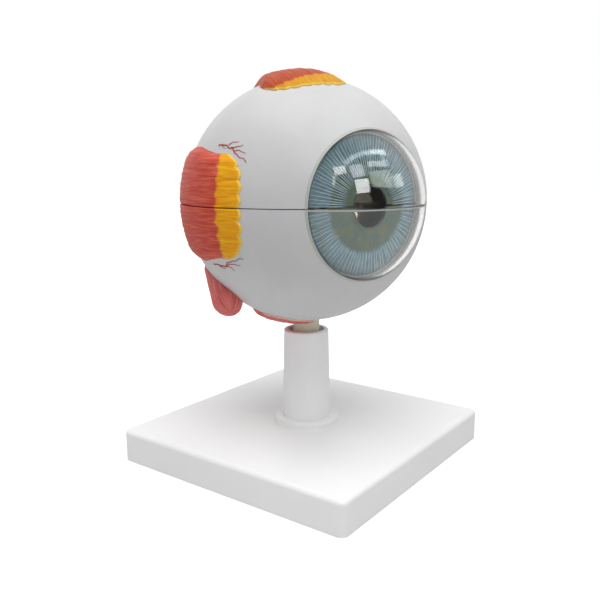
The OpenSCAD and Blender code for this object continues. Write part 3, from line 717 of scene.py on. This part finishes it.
layer = {
    "skin": 65.4, "retina": 63.7, "greyFrom": 52.87, "discTurn": 15.0, "webScale": 85.0, "webBend": 0.006,
    "red": [(0.3, (150, 44, 36)), (0.7, (188, 70, 52))], "vein": (98, 22, 30), "grey": (168, 170, 166),
    "orange": [(0.3, (206, 98, 52)), (0.7, (228, 134, 78))],
}
discAngle = math.radians(layer["discTurn"])
yellowSpot = (-layer["retina"], -2.0, -1.5)
paleDisc = (-layer["retina"] * math.cos(discAngle), layer["retina"] * math.sin(discAngle), 0.0)
retinaSpots = [  # centre, radius, softness of the edge and colour
    (yellowSpot, 5.0, 2.5, (196, 70, 40)), (yellowSpot, 1.6, 1.0, (240, 190, 70)),
    (paleDisc, 5.2, 0.6, (244, 214, 160)), (paleDisc, 2.2, 1.0, (250, 238, 214)),
]
vesselLayer, tree, shader = newFinish("VesselLayer")
place = eyePlace(tree)
isSkin = rescaled(tree, lengthOf(tree, place), (layer["skin"] - 0.1) * mm, (layer["skin"] + 0.1) * mm)
bent = addNode(tree, "ShaderNodeVectorMath", {
    0: place, 1: maths(tree, "MULTIPLY", noisy(tree, place, 60.0), layer["webBend"])}, operation="ADD")
web = addNode(tree, "ShaderNodeTexVoronoi", {"Vector": bent.outputs[0]}, {"Scale": layer["webScale"]},
              feature="DISTANCE_TO_EDGE").outputs["Distance"]
vein = rescaled(tree, web, 0.02, 0.10, 1.0, 0.0, True)
cloud = noisy(tree, place, 45.0, 5.0, 0.6)
skin = mixed(tree, maths(tree, "MULTIPLY", vein, 0.75), graded(tree, cloud, layer["red"]),
             paint(*layer["vein"]))
retina = graded(tree, cloud, layer["orange"])
for centre, radius, soft, colour in retinaSpots:
    gap = addNode(tree, "ShaderNodeVectorMath", {0: place}, {1: tuple(c * mm for c in centre)},
                  operation="DISTANCE").outputs["Value"]
    share = rescaled(tree, gap, (radius - soft) * mm, (radius + soft) * mm, 1.0, 0.0, True)
    retina = mixed(tree, share, retina, paint(*colour))
frontPlace = addNode(tree, "ShaderNodeSeparateXYZ", {0: place}).outputs["X"]
atFront = rescaled(tree, frontPlace, (layer["greyFrom"] - 0.3) * mm, (layer["greyFrom"] + 0.3) * mm)
colourIn(tree, shader, mixed(tree, atFront, mixed(tree, isSkin, retina, skin), paint(*layer["grey"])))
roughIn(tree, shader, cloud, (0.36, 0.5))
bumped(tree, shader, maths(tree, "ADD", cloud, maths(tree, "MULTIPLY", vein, 0.6)), 0.15 * mm)
recoat(vesselLayer, "choroid_lower", "choroid_upper")


# Thin vessels are laid as edges on a ball, bent a little to each side, and grown into tubes

def wander(points, radius, draw, sway, step=1.2):
    points = np.asarray(points, float)
    spans = np.linalg.norm(np.diff(points, axis=0), axis=1)
    places = np.concatenate([[0], np.cumsum(spans)])
    count = max(6, int(places[-1] / step))
    at = np.linspace(0, places[-1], count)
    fine = np.stack([np.interp(at, places, points[:, k]) for k in range(3)], axis=1)
    for _ in range(3):
        fine[1:-1] = (fine[:-2] + 2 * fine[1:-1] + fine[2:]) / 4
    fine /= np.linalg.norm(fine, axis=1)[:, None]
    heading = np.gradient(fine, axis=0)
    aside = np.cross(fine, heading)
    aside /= np.linalg.norm(aside, axis=1)[:, None] + 1e-9
    phases = draw.uniform(0, 2 * math.pi, 3)
    swing = sum(np.sin(at * 2 * math.pi / wave + phase) for wave, phase in zip((5.3, 8.9, 14.0), phases))
    fine = fine * radius + aside * (swing * sway * np.minimum(at / 4, 1))[:, None]
    return fine / np.linalg.norm(fine, axis=1)[:, None] * radius


def vesselPiece(name, runs, radius, seed, finish, body, slotName, sway=0.25):
    draw = np.random.default_rng(seed)
    points, edges, girths = [], [], []
    for run, thick, thin in runs:
        path = wander(run, radius, draw, sway)
        first = len(points)
        points += list(path)
        edges += [(first + k, first + k + 1) for k in range(len(path) - 1)]
        girths += list(np.linspace(thick, thin, len(path)))
    mesh = bpy.data.meshes.new(name + "_edges")
    mesh.from_pydata([tuple(point) for point in inWorld(points)], edges, [])
    mesh.attributes.new("girth", "FLOAT", "POINT").data.foreach_set("value", np.asarray(girths, np.float32))
    piece = grown(name, vessels, {"Sides": 6, "Thickness": vesselThick * mm, "Finish": finish}, mesh)
    return carried(piece, body, slotName)


vesselThick = 0.42
vesselRed = tonedFinish("VesselRed", (150, 40, 32), (184, 72, 58))
vesselDark = tonedFinish("VesselDark", (104, 22, 40), (134, 38, 54))


def onBall(sideways, up, radius):  # angles from the back pole, towards the nose and upwards, in degrees
    bend = math.radians(math.hypot(sideways, up))
    turn = math.atan2(up, sideways)
    return (-radius * math.cos(bend), radius * math.sin(bend) * math.cos(turn),
            radius * math.sin(bend) * math.sin(turn))


# Each run of a vessel: its points, then its girth at the start and at the end, as shares of the thickness.
# On the retina the points are two angles, and mirrored below the seam
retinaRuns = {
    "artery": [
        ([(15, 1), (13, 9), (4, 17), (-12, 20), (-32, 24), (-52, 22)], 1.0, 0.35),
        ([(15, 1), (20, 10), (32, 20), (48, 30), (66, 34)], 0.9, 0.3),
        ([(-2, 19), (-12, 30), (-24, 40)], 0.6, 0.25), ([(27, 16), (30, 30), (34, 46)], 0.6, 0.25),
        ([(8, 15), (0, 10), (-6, 8)], 0.4, 0.2),
    ],
    "vein": [
        ([(15, 1.5), (10, 9), (0, 14), (-16, 16), (-34, 17), (-56, 15)], 1.15, 0.4),
        ([(15, 1.5), (23, 8), (38, 14), (54, 20), (70, 22)], 1.05, 0.35),
        ([(-6, 15), (-18, 26), (-34, 34)], 0.7, 0.25), ([(32, 12), (40, 26), (46, 42)], 0.7, 0.25),
    ],
}
for side, word in halves:
    for kind, finish in (("artery", vesselRed), ("vein", vesselDark)):
        runs = [([onBall(a, side * b, layer["retina"]) for a, b in run], thick, thin)
                for run, thick, thin in retinaRuns[kind]]
        vesselPiece("retina_" + kind + "_" + word, runs, layer["retina"] - 0.12, 20 + side, finish,
                    word + "_choroid", "choroid_red")

# On the wall they are places in the eyeball's frame, by side of the seam, and mirrored to the nose side
outerRuns = {
    1: [([(10.6, 63.4, 32.5), (14.9, 62.7, 32.2), (18.5, 61.6, 32.4), (21.1, 61.6, 30.8), (24.0, 61.8, 28.2),
          (28.5, 60.8, 26.2), (33.1, 59.3, 24.1)], 1.05, 0.5),
        ([(18.5, 61.6, 32.4), (19.8, 60.5, 33.8), (24.0, 58.6, 34.4)], 0.75, 0.3),
        ([(20.6, 61.6, 31.2), (23.9, 60.5, 31.1), (25.5, 59.5, 31.5), (27.6, 58.0, 32.5)], 0.85, 0.3),
        ([(22.7, 61.6, 29.8), (25.5, 60.8, 29.1), (28.0, 59.8, 28.8), (31.1, 58.6, 28.1)], 0.7, 0.3),
        ([(13.3, 63.0, 32.2), (17.2, 62.7, 31.0)], 0.6, 0.3)],
    -1: [([(2.4, 64.3, -32.5), (7.7, 63.9, -32.5), (12.2, 63.1, -32.6), (16.3, 62.8, -31.2),
           (20.0, 62.9, -28.9), (23.8, 61.9, -28.1), (28.8, 60.4, -26.7)], 1.0, 0.45),
         ([(12.2, 63.1, -32.6), (16.3, 62.3, -32.4), (19.7, 62.2, -30.6), (25.0, 60.2, -30.7)], 0.8, 0.3),
         ([(16.3, 62.3, -32.4), (17.9, 61.3, -33.4), (19.2, 60.2, -34.7)], 0.65, 0.3),
         ([(7.7, 63.9, -32.5), (10.1, 62.7, -34.1), (12.4, 62.1, -34.5)], 0.6, 0.3)],
}
for side, word in halves:
    runs = [([(x, ear * y, z) for x, y, z in run], thick, thin)
            for ear in (-1, 1) for run, thick, thin in outerRuns[side]]
    vesselPiece("wall_vessels_" + word, runs, eyeball["radius"] + 0.05, 40 + side, vesselRed,
                word + "_eye", "sclera_grey_white", 0.35)
print("vessels made")


# Ciliary ring: the CAD ring stays under a crown of folds, which run between two places on the sight line
# and their radii

ciliary = {"inner": (48.87, 31.0), "outer": (41.67, 38.4), "folds": 36, "thick": 0.85, "scatter": 0.12,
           "seed": 3}
ciliaryBrown = tonedFinish("CiliaryBrown", (92, 52, 34), (134, 84, 56), (0.4, 0.55), 220.0, 0.12)
recoat(ciliaryBrown, "ciliary_ring_lower", "ciliary_ring_upper")
for side, word in halves:
    piece = spokeRing("ciliary_folds_" + word, side, ciliary["folds"], ciliary["inner"], ciliary["outer"],
                      ciliary, ciliaryBrown)
    carried(piece, word + "_choroid", "ciliary_brown")


# Lens and clear body: the CAD nodes stay

clearLook = {
    "lens": {"finish": "LensClear", "tint": (250, 243, 222), "rough": 0.02, "bending": 1.4, "ripple": 90.0},
    "vitreous_body": {"finish": "ClearBody", "tint": (240, 247, 250), "rough": 0.03, "bending": 1.36,
                      "ripple": 70.0},
}
for nodeName, look in clearLook.items():
    finish, tree, shader = newFinish(look["finish"], {
        "Base Color": paint(*look["tint"]), "Roughness": look["rough"], "IOR": look["bending"],
        "Transmission Weight": 1.0, "Specular IOR Level": 0.1})
    bumped(tree, shader, noisy(tree, objectPlace(tree), look["ripple"]), 0.01 * mm)
    recoat(finish, nodeName)
print("inner pieces coated")


# Muscles: fibres run along each, and the yellow tendon reaches back into the red in ragged streaks

fleshLook = {
    "red": [(0.34, (166, 48, 36)), (0.5, (204, 74, 56)), (0.66, (228, 124, 100))],
    "yellow": [(0.34, (220, 130, 6)), (0.5, (238, 164, 6)), (0.66, (248, 198, 36))],
    "tip": (246, 226, 110), "tipShare": 0.6, "tendon": 14.0, "curve": 8.0, "wide": 28.0, "ragged": 2.4,
    "tilt": 0.0, "soft": 1.2, "rough": (0.42, 0.55), "depth": 0.25,
}


def fleshFinish(name, **changes):
    look = dict(fleshLook, **changes)
    finish, tree, shader = newFinish(name, {"Specular IOR Level": 0.22})
    along, parts = alongPiece(tree)
    fromTip = maths(tree, "MULTIPLY", parts["X"], fleshSpan)
    coarse = streaky(tree, along, (0.5, 8.0), 4.0, 0.6, 0.3)
    fine = streaky(tree, along, (1.1, 34.0), 3.0, 0.6)
    strand = maths(tree, "MULTIPLY_ADD", fine, 0.5, maths(tree, "MULTIPLY", coarse, 0.5))
    ragged = streaky(tree, along, (0.25, 5.0), 3.0, 0.6)
    reach = maths(tree, "MULTIPLY_ADD", ragged, look["ragged"], look["tendon"] - 0.5 * look["ragged"])
    aside = maths(tree, "ABSOLUTE", maths(tree, "DIVIDE", parts["Y"], look["wide"] / fleshSpan))
    curve = maths(tree, "MULTIPLY", maths(tree, "POWER", aside, 4.0), look["curve"])
    reach = maths(tree, "SUBTRACT", reach, curve)
    if look["tilt"]:  # a tendon that is longer on one side
        reach = maths(tree, "MULTIPLY_ADD", parts["Y"], look["tilt"], reach)
    inRed = rescaled(tree, maths(tree, "SUBTRACT", fromTip, reach), -look["soft"], look["soft"], smooth=True)
    colour = mixed(tree, inRed, graded(tree, strand, look["yellow"]), graded(tree, strand, look["red"]))
    atTip = rescaled(tree, fromTip, 0.2, 1.8, look["tipShare"], 0.0, True)
    colourIn(tree, shader, mixed(tree, atTip, colour, paint(*look["tip"])))
    roughIn(tree, shader, strand, look["rough"], 0.35, 0.65)
    bumped(tree, shader, strand, look["depth"] * mm)
    return finish


muscleFlesh = fleshFinish("MuscleFlesh")
# The upper muscle's paint is darker and more orange: the darkening is painted shade that offsets the light
# from above, the orange is its own colour
upperFleshShaded = fleshFinish(
    "UpperFleshShaded", tendon=10.0, wide=24.0, ragged=5.0, tilt=2.4,
    red=[(0.34, (146, 42, 12)), (0.5, (178, 64, 20)), (0.66, (200, 104, 52))],
    yellow=[(0.34, (196, 116, 4)), (0.5, (212, 146, 4)), (0.66, (224, 178, 26))])
lowerFlesh = fleshFinish(
    "LowerFlesh", tendon=0.6, curve=0.0, ragged=0.8, tip=(238, 206, 190),
    red=[(0.34, (176, 60, 58)), (0.5, (208, 90, 88)), (0.66, (234, 150, 144))],
    yellow=[(0.3, (232, 176, 140)), (0.7, (240, 200, 170))])
clubFlesh = fleshFinish(
    "ObliqueFlesh", tipShare=0.0, tendon=-30.0, curve=0.0,
    red=[(0.34, (186, 74, 70)), (0.5, (224, 112, 106)), (0.68, (240, 168, 154))])


def strands(across, along, seed, waves, wobble):  # -1..1, ridges that follow the fibres
    draw = np.random.default_rng(seed)
    total = np.zeros_like(across)
    for wave in waves:
        phase, lean, drift = draw.uniform(0, 2 * math.pi, 3)
        sway = wobble * np.sin(along * 2 * math.pi / (14 * wave + 11) + lean)
        total += np.sin((across + sway) * 2 * math.pi / wave + phase
                        + 1.2 * np.sin(along / (7 * wave) + drift))
    return total / len(waves)


def softLeast(values, blur):  # the least of several heights, rounded where two of them cross
    values = np.stack(values)
    return -blur * np.log(np.sum(np.exp(-values / blur), axis=0))


# Straight muscles: a band on the ball, its edges rounded, thinner towards the tendon and combed at its
# front. The two roundings are those of its long edges, and relief is full where the band is that high
straight = {
    "side": {"rise": 3.55, "front": 33.5, "back": 30.0, "tendonWide": 28.0, "bellyWide": 32.0,
             "rounds": (14.0, 14.0)},
    "upper": {"rise": 7.3, "front": 32.5, "back": 21.0, "tendonWide": 24.0, "bellyWide": 20.0,
              "rounds": (14.0, 44.0)},
    "lower": {"rise": 6.3, "front": 18.0, "back": 21.0, "tendonWide": 17.5, "bellyWide": 19.5,
              "rounds": (14.0, 14.0)},
}
tendonForm = {
    "tips": 8, "tipDepth": 2.0, "cornerBack": 11.5, "taperShift": 13.5, "tipThick": 1.0, "roundLap": 0.15,
    "blur": 0.22, "bundleWaves": (2.7, 4.1, 6.3), "bundleDepth": 0.36, "fibreWaves": (0.9, 1.3, 1.7),
    "fibreDepth": 0.14, "grooveDepth": 0.5, "grooveRun": 5.0, "reliefFull": 2.2, "endRound": 1.4,
    "seamRound": 0.45, "thinnest": 0.12,
}


def turnedBy(turns):  # OpenSCAD's rotate([x, y, z])
    x, y, z = (math.radians(turn) for turn in turns)
    return np.array(Matrix.Rotation(z, 3, "Z") @ Matrix.Rotation(y, 3, "Y") @ Matrix.Rotation(x, 3, "X"))


def straightMuscle(name, shape, turns, half, seed, finish, rows=84, columns=150):
    radius, seam, form = eyeball["radius"], eyeball["seamHalf"], tendonForm
    phases = np.random.default_rng(seed).uniform(0, 6, 4)
    share = np.linspace(0, 1, rows)
    share = 0.6 * share + 0.4 * (1 - np.cos(math.pi * share)) / 2  # rows lie closer at both ends
    s, t = np.meshgrid(share, np.linspace(0 if half else -1, 1, columns), indexing="ij")
    backTurn = math.pi / 2 + math.asin(shape["back"] / radius)
    middleFront = math.acos(shape["front"] / radius)
    middle = radius * np.cos(backTurn + (middleFront - backTurn) * s)
    taper = np.clip(middle / (shape["front"] - form["cornerBack"]), 0, 1)
    wide = shape["bellyWide"] + (shape["tendonWide"] - shape["bellyWide"]) * taper
    level = half * (seam + t * (wide - seam)) if half else t * wide
    lean = np.arcsin(level / radius)
    tipAt = level / shape["tendonWide"]
    warp = 0.035 * np.sin(tipAt * 7 + phases[0]) + 0.02 * np.sin(tipAt * 17 + phases[1])
    comb = 1 - np.abs(np.sin(math.pi / 2 * form["tips"] * (tipAt + warp * np.abs(tipAt))))
    unequal = 0.75 + 0.35 * np.sin(tipAt * 5.3 + phases[2]) * np.sin(tipAt * 11 + phases[3])
    edge = shape["front"] - form["cornerBack"] * np.abs(tipAt) ** 4 - form["tipDepth"] * unequal * comb
    frontTurn = np.arccos(np.clip(edge / (radius * np.cos(lean)), -1, 1))
    turn = backTurn + (frontTurn - backTurn) * s
    aim = np.stack([np.cos(lean) * np.cos(turn), -np.cos(lean) * np.sin(turn), np.sin(lean)], axis=-1)
    fromTip = (turn - frontTurn) * radius * np.cos(lean)
    fromBack = (backTurn - turn) * radius * np.cos(lean)

    heights = [np.full_like(s, shape["rise"])]
    for sign, rounding in zip((-1, 1), shape["rounds"]):  # the rounding along each long edge
        reach = radius + shape["rise"] + form["roundLap"] - rounding
        fade = math.acos((reach ** 2 + radius ** 2 - rounding ** 2) / (2 * reach * radius))
        past = np.maximum(sign * lean - (np.arcsin(wide / radius) - fade), 0)
        dip = np.maximum(rounding ** 2 - (reach * np.sin(past)) ** 2, 0)
        heights.append(reach * np.cos(past) + np.sqrt(dip) - radius)
    tipX = (radius + form["tipThick"]) * shape["front"] / radius
    tipY = math.sqrt((radius + form["tipThick"]) ** 2 - tipX ** 2)
    shift = form["taperShift"]
    along = -shift * aim[..., 0]  # a ball shifted back along the sight line thins the tendon
    heights.append(along + np.sqrt(along ** 2 - shift ** 2 + math.hypot(tipX + shift, tipY) ** 2) - radius)
    heights.append(0.35 + 0.8 * np.sqrt(np.maximum(fromTip, 0)))  # the tips' own rounding
    height = softLeast(heights, form["blur"])

    bundle = strands(level, fromTip, seed + 1, form["bundleWaves"], 0.8)
    fibre = strands(level, fromTip, seed + 2, form["fibreWaves"], 0.5)
    groove = comb ** 2 * np.exp(-np.maximum(fromTip, 0) / form["grooveRun"])
    relief = (form["bundleDepth"] * (0.5 - 0.5 * bundle) + form["fibreDepth"] * (0.5 - 0.5 * fibre)
              + form["grooveDepth"] * groove)
    height = height - relief * np.clip(height / form["reliefFull"], 0, 1)

    def dulled(gap, rounding):  # how far a rounded border lowers the surface
        inside = np.clip(rounding - gap, 0, rounding)
        return rounding - np.sqrt(rounding ** 2 - inside ** 2)
    height = height - dulled(fromBack, form["endRound"])
    if half:
        height = height - dulled(np.abs(level) - seam, form["seamRound"])
    outer = aim * (radius + np.maximum(height, form["thinnest"]))[..., None]
    inner = aim * (radius + eyeball["glueGap"])
    if half:  # the cut faces stay level with the seam
        outer[:, 0, 2] = inner[:, 0, 2] = half * seam
    points, faces = closedShell(outer, inner)
    grid = np.stack([fromTip, level], axis=-1).reshape(-1, 2) / fleshSpan
    return buildPiece(name, points @ turnedBy(turns).T, faces, [finish], np.concatenate([grid, grid]), None,
                      55.0)


for side, word in halves:
    for place, node, turn, half, seed in (("outer", "lateral", 0, side, 11 + side),
                                          ("inner", "medial", 180, -side, 15 + side)):
        piece = straightMuscle(place + "_muscle_" + word, straight["side"], (turn, 0, 0), half, seed,
                               muscleFlesh)
        carried(piece, word + "_eye", "muscle_red", node + "_rectus_" + word)
upperRoll, lowerRoll, uprightRun = 6.0, 11.0, 15.0
piece = straightMuscle("upper_muscle", straight["upper"], (upperRoll - 90, 0, -uprightRun), 0, 31,
                       upperFleshShaded, 84, 190)
carried(piece, "upper_eye", "muscle_red", "superior_rectus")


def cutAway(piece, makeTool, place, **sizes):  # takes a simple solid out of a piece for good
    tool = bmesh.new()
    makeTool(tool, **sizes)
    bmesh.ops.translate(tool, verts=tool.verts, vec=place)
    mesh = bpy.data.meshes.new("Cutter")
    tool.to_mesh(mesh)
    tool.free()
    cutter = linkPiece("Cutter", mesh)
    modifier = piece.modifiers.new("Cut", "BOOLEAN")
    modifier.operation = "DIFFERENCE"
    modifier.solver = "EXACT"
    modifier.object = cutter
    graph = bpy.context.evaluated_depsgraph_get()
    mesh = bpy.data.meshes.new_from_object(piece.evaluated_get(graph))
    piece.modifiers.remove(modifier)
    piece.data = mesh
    bpy.data.objects.remove(cutter)
    mesh.shade_smooth()
    mesh.set_sharp_from_angle(angle=math.radians(50))
    return piece


neck = {"clear": 8.5 * mm, "place": (0, 0, 85 * mm), "depth": 60 * mm}  # room for the peg's neck
piece = straightMuscle("lower_muscle", straight["lower"], (90 - lowerRoll, 0, -uprightRun), 0, 37,
                       lowerFlesh, 70, 150)
cutAway(piece, bmesh.ops.create_cone, neck["place"], cap_ends=True, segments=64, radius1=neck["clear"],
        radius2=neck["clear"], depth=neck["depth"])
carried(piece, "lower_eye", "muscle_red", "inferior_rectus")


# Oblique muscles: clubs that swell towards a blunt free end

clubs = {
    "lower_oblique": {"at": (-106.9, -43.8), "run": 53.0, "rise": 13.0, "body": "lower_eye",
                      "node": "inferior_oblique", "seed": 51},
    "upper_oblique": {"at": (135.0, 46.0), "run": 125.0, "rise": 5.5, "body": "upper_eye",
                      "node": "superior_oblique", "seed": 57},
}
clubForm = {"length": 36.0, "tipRadius": 8.8, "endWide": 11.0, "rootRadius": 7.0, "rootSink": 5.2,
            "rootOn": 3.0, "rings": 72, "columns": 96, "gap": 0.12, "ridges": (2.3, 3.4, 5.2),
            "ridgeDepth": 0.35}


def club(name, shape):
    radius, form = eyeball["radius"], clubForm
    rootRadius, tipRadius, halfLength = form["rootRadius"], form["tipRadius"], form["length"] / 2
    root = np.array([rootRadius - form["rootOn"] - halfLength, 0, radius - form["rootSink"]])
    tip = np.array([halfLength - tipRadius, 0, radius + shape["rise"] - tipRadius])
    run = np.linalg.norm(tip - root)
    ahead = (tip - root) / run
    aside = np.array([0.0, 1.0, 0.0])
    up = np.cross(ahead, aside)
    turns = np.linspace(0, 2 * math.pi, form["columns"], endpoint=False)
    points, grid = [], []
    for bend in np.linspace(-math.pi / 2, math.pi / 2, form["rings"]):
        place = run / 2 + (run / 2 + (rootRadius if bend < 0 else tipRadius)) * math.sin(bend)
        if place < 0:
            girth = math.sqrt(max(rootRadius ** 2 - place ** 2, 0))
        elif place > run:
            girth = math.sqrt(max(tipRadius ** 2 - (place - run) ** 2, 0))
        else:
            girth = rootRadius + (tipRadius - rootRadius) * place / run
        flare = (form["endWide"] - tipRadius) * np.clip(place / run, 0, 1)
        wide = girth + flare * min(girth / tipRadius, 1) ** 0.5
        ridge = strands(turns * tipRadius, np.full_like(turns, place), shape["seed"], form["ridges"], 0.9)
        ridge = form["ridgeDepth"] * (0.5 - 0.5 * ridge) * min(girth / 4, 1)
        points.append(root + ahead * place + aside * ((wide - ridge) * np.cos(turns))[:, None]
                      - up * ((girth - ridge) * np.sin(turns))[:, None])
        grid.append(np.stack([np.full_like(turns, 4 + (run - place) / fleshSpan),
                              turns * tipRadius / fleshSpan], axis=-1))
    columns = form["columns"]
    faces = []
    for i in range(form["rings"] - 1):
        for j in range(columns):
            k = (j + 1) % columns
            faces.append((i * columns + j, i * columns + k, (i + 1) * columns + k, (i + 1) * columns + j))
    sideways, tilt = (math.radians(v) for v in shape["at"])
    frameTurn = np.array(Matrix.Rotation(sideways, 3, "Z")
                         @ Matrix.Rotation(math.pi / 2 - tilt, 3, "Y")
                         @ Matrix.Rotation(math.radians(shape["run"]), 3, "Z"))
    piece = buildPiece(name, np.concatenate(points) @ frameTurn.T, faces, [clubFlesh], np.concatenate(grid))
    return cutAway(piece, bmesh.ops.create_uvsphere, eyeMatrix.translation, u_segments=192, v_segments=96,
                   radius=(radius + form["gap"]) * mm)


for name, shape in clubs.items():
    carried(club(name, shape), shape["body"], "oblique_red", shape["node"])
print("muscles made")


# Optic nerve: a sheath that flares onto the wall, cut square, with a ring of bundles in its end

nerve = {
    "sheath": 11.0, "core": 8.4, "reach": 87.5, "stub": 1.9, "turn": 15.0, "flare": 3.2, "columns": 72,
    "inset": 0.15, "bundles": 150, "discInset": 0.6, "hollow": 1.5, "bundleRadius": 0.52,
    "bundleDepth": 0.3, "bundleSink": 0.2, "seamGap": 0.85, "seed": 5,
}
sheathYellow = tonedFinish("NerveSheath", (214, 186, 108), (236, 214, 146), (0.4, 0.55), 150.0, 0.25)
bundlePale = tonedFinish("NerveBundle", (238, 218, 150), (250, 240, 200), (0.45, 0.6), 300.0, 0.08)
sheath, core, reach, inset = nerve["sheath"], nerve["core"], nerve["reach"], nerve["inset"]
stubEnd = reach + nerve["stub"]
ballRadius = eyeball["radius"] + eyeball["glueGap"]
foot = sheath + nerve["flare"]
footPlace = math.sqrt(ballRadius ** 2 - foot ** 2)
nerveOutline = [(footPlace + (reach - 0.5 - footPlace) * share,
                 sheath - inset + (nerve["flare"] + inset) * math.exp(-share * 9))
                for share in np.linspace(0, 1, 26)]
nerveOutline += [(reach - inset, sheath - 0.4), (reach, sheath - 0.9), (reach, core),
                 (stubEnd - 0.3, core - 0.1), (stubEnd, core - 0.6)]
nerveOutline += [(stubEnd, r) for r in (6.0, 3.0, 0.0)]
nerveOutline += [(math.sqrt(ballRadius ** 2 - r ** 2), r) for r in np.linspace(0, foot, 14)[:-1]]
nerveTurn = math.radians(180 - nerve["turn"])
endPlace = np.array([math.cos(nerveTurn), math.sin(nerveTurn), 0]) * (stubEnd - nerve["bundleSink"])
faceTurn = (Matrix.Rotation(math.radians(eyeball["turn"] - 90) + nerveTurn, 4, "Z")
            @ Matrix.Rotation(math.pi / 2, 4, "Y") @ Matrix.Rotation(math.pi / 2, 4, "Z"))
for side, word in halves:
    points, faces, kinds, along = halfTurned(nerveOutline, side, nerve["columns"])
    points = points @ np.array(Matrix.Rotation(nerveTurn, 3, "Z")).T
    piece = buildPiece("nerve_" + word, points, faces, [sheathYellow, bundlePale], along, kinds, 45.0)
    carried(piece, word + "_eye", "nerve_yellow", "optic_nerve_" + word)
    piece = grown("nerve_bundles_" + word, bundles, {
        "Count": nerve["bundles"], "DiscRadius": (core - nerve["discInset"]) * mm,
        "Core": nerve["hollow"] * mm, "RodRadius": nerve["bundleRadius"] * mm,
        "RodDepth": nerve["bundleDepth"] * mm, "Side": float(side), "Gap": nerve["seamGap"] * mm,
        "Centre": tuple(inWorld([endPlace])[0]), "Turn": tuple(faceTurn.to_euler()), "Seed": nerve["seed"],
        "Finish": bundlePale})
    carried(piece, word + "_eye", "nerve_yellow")
print("nerve made")
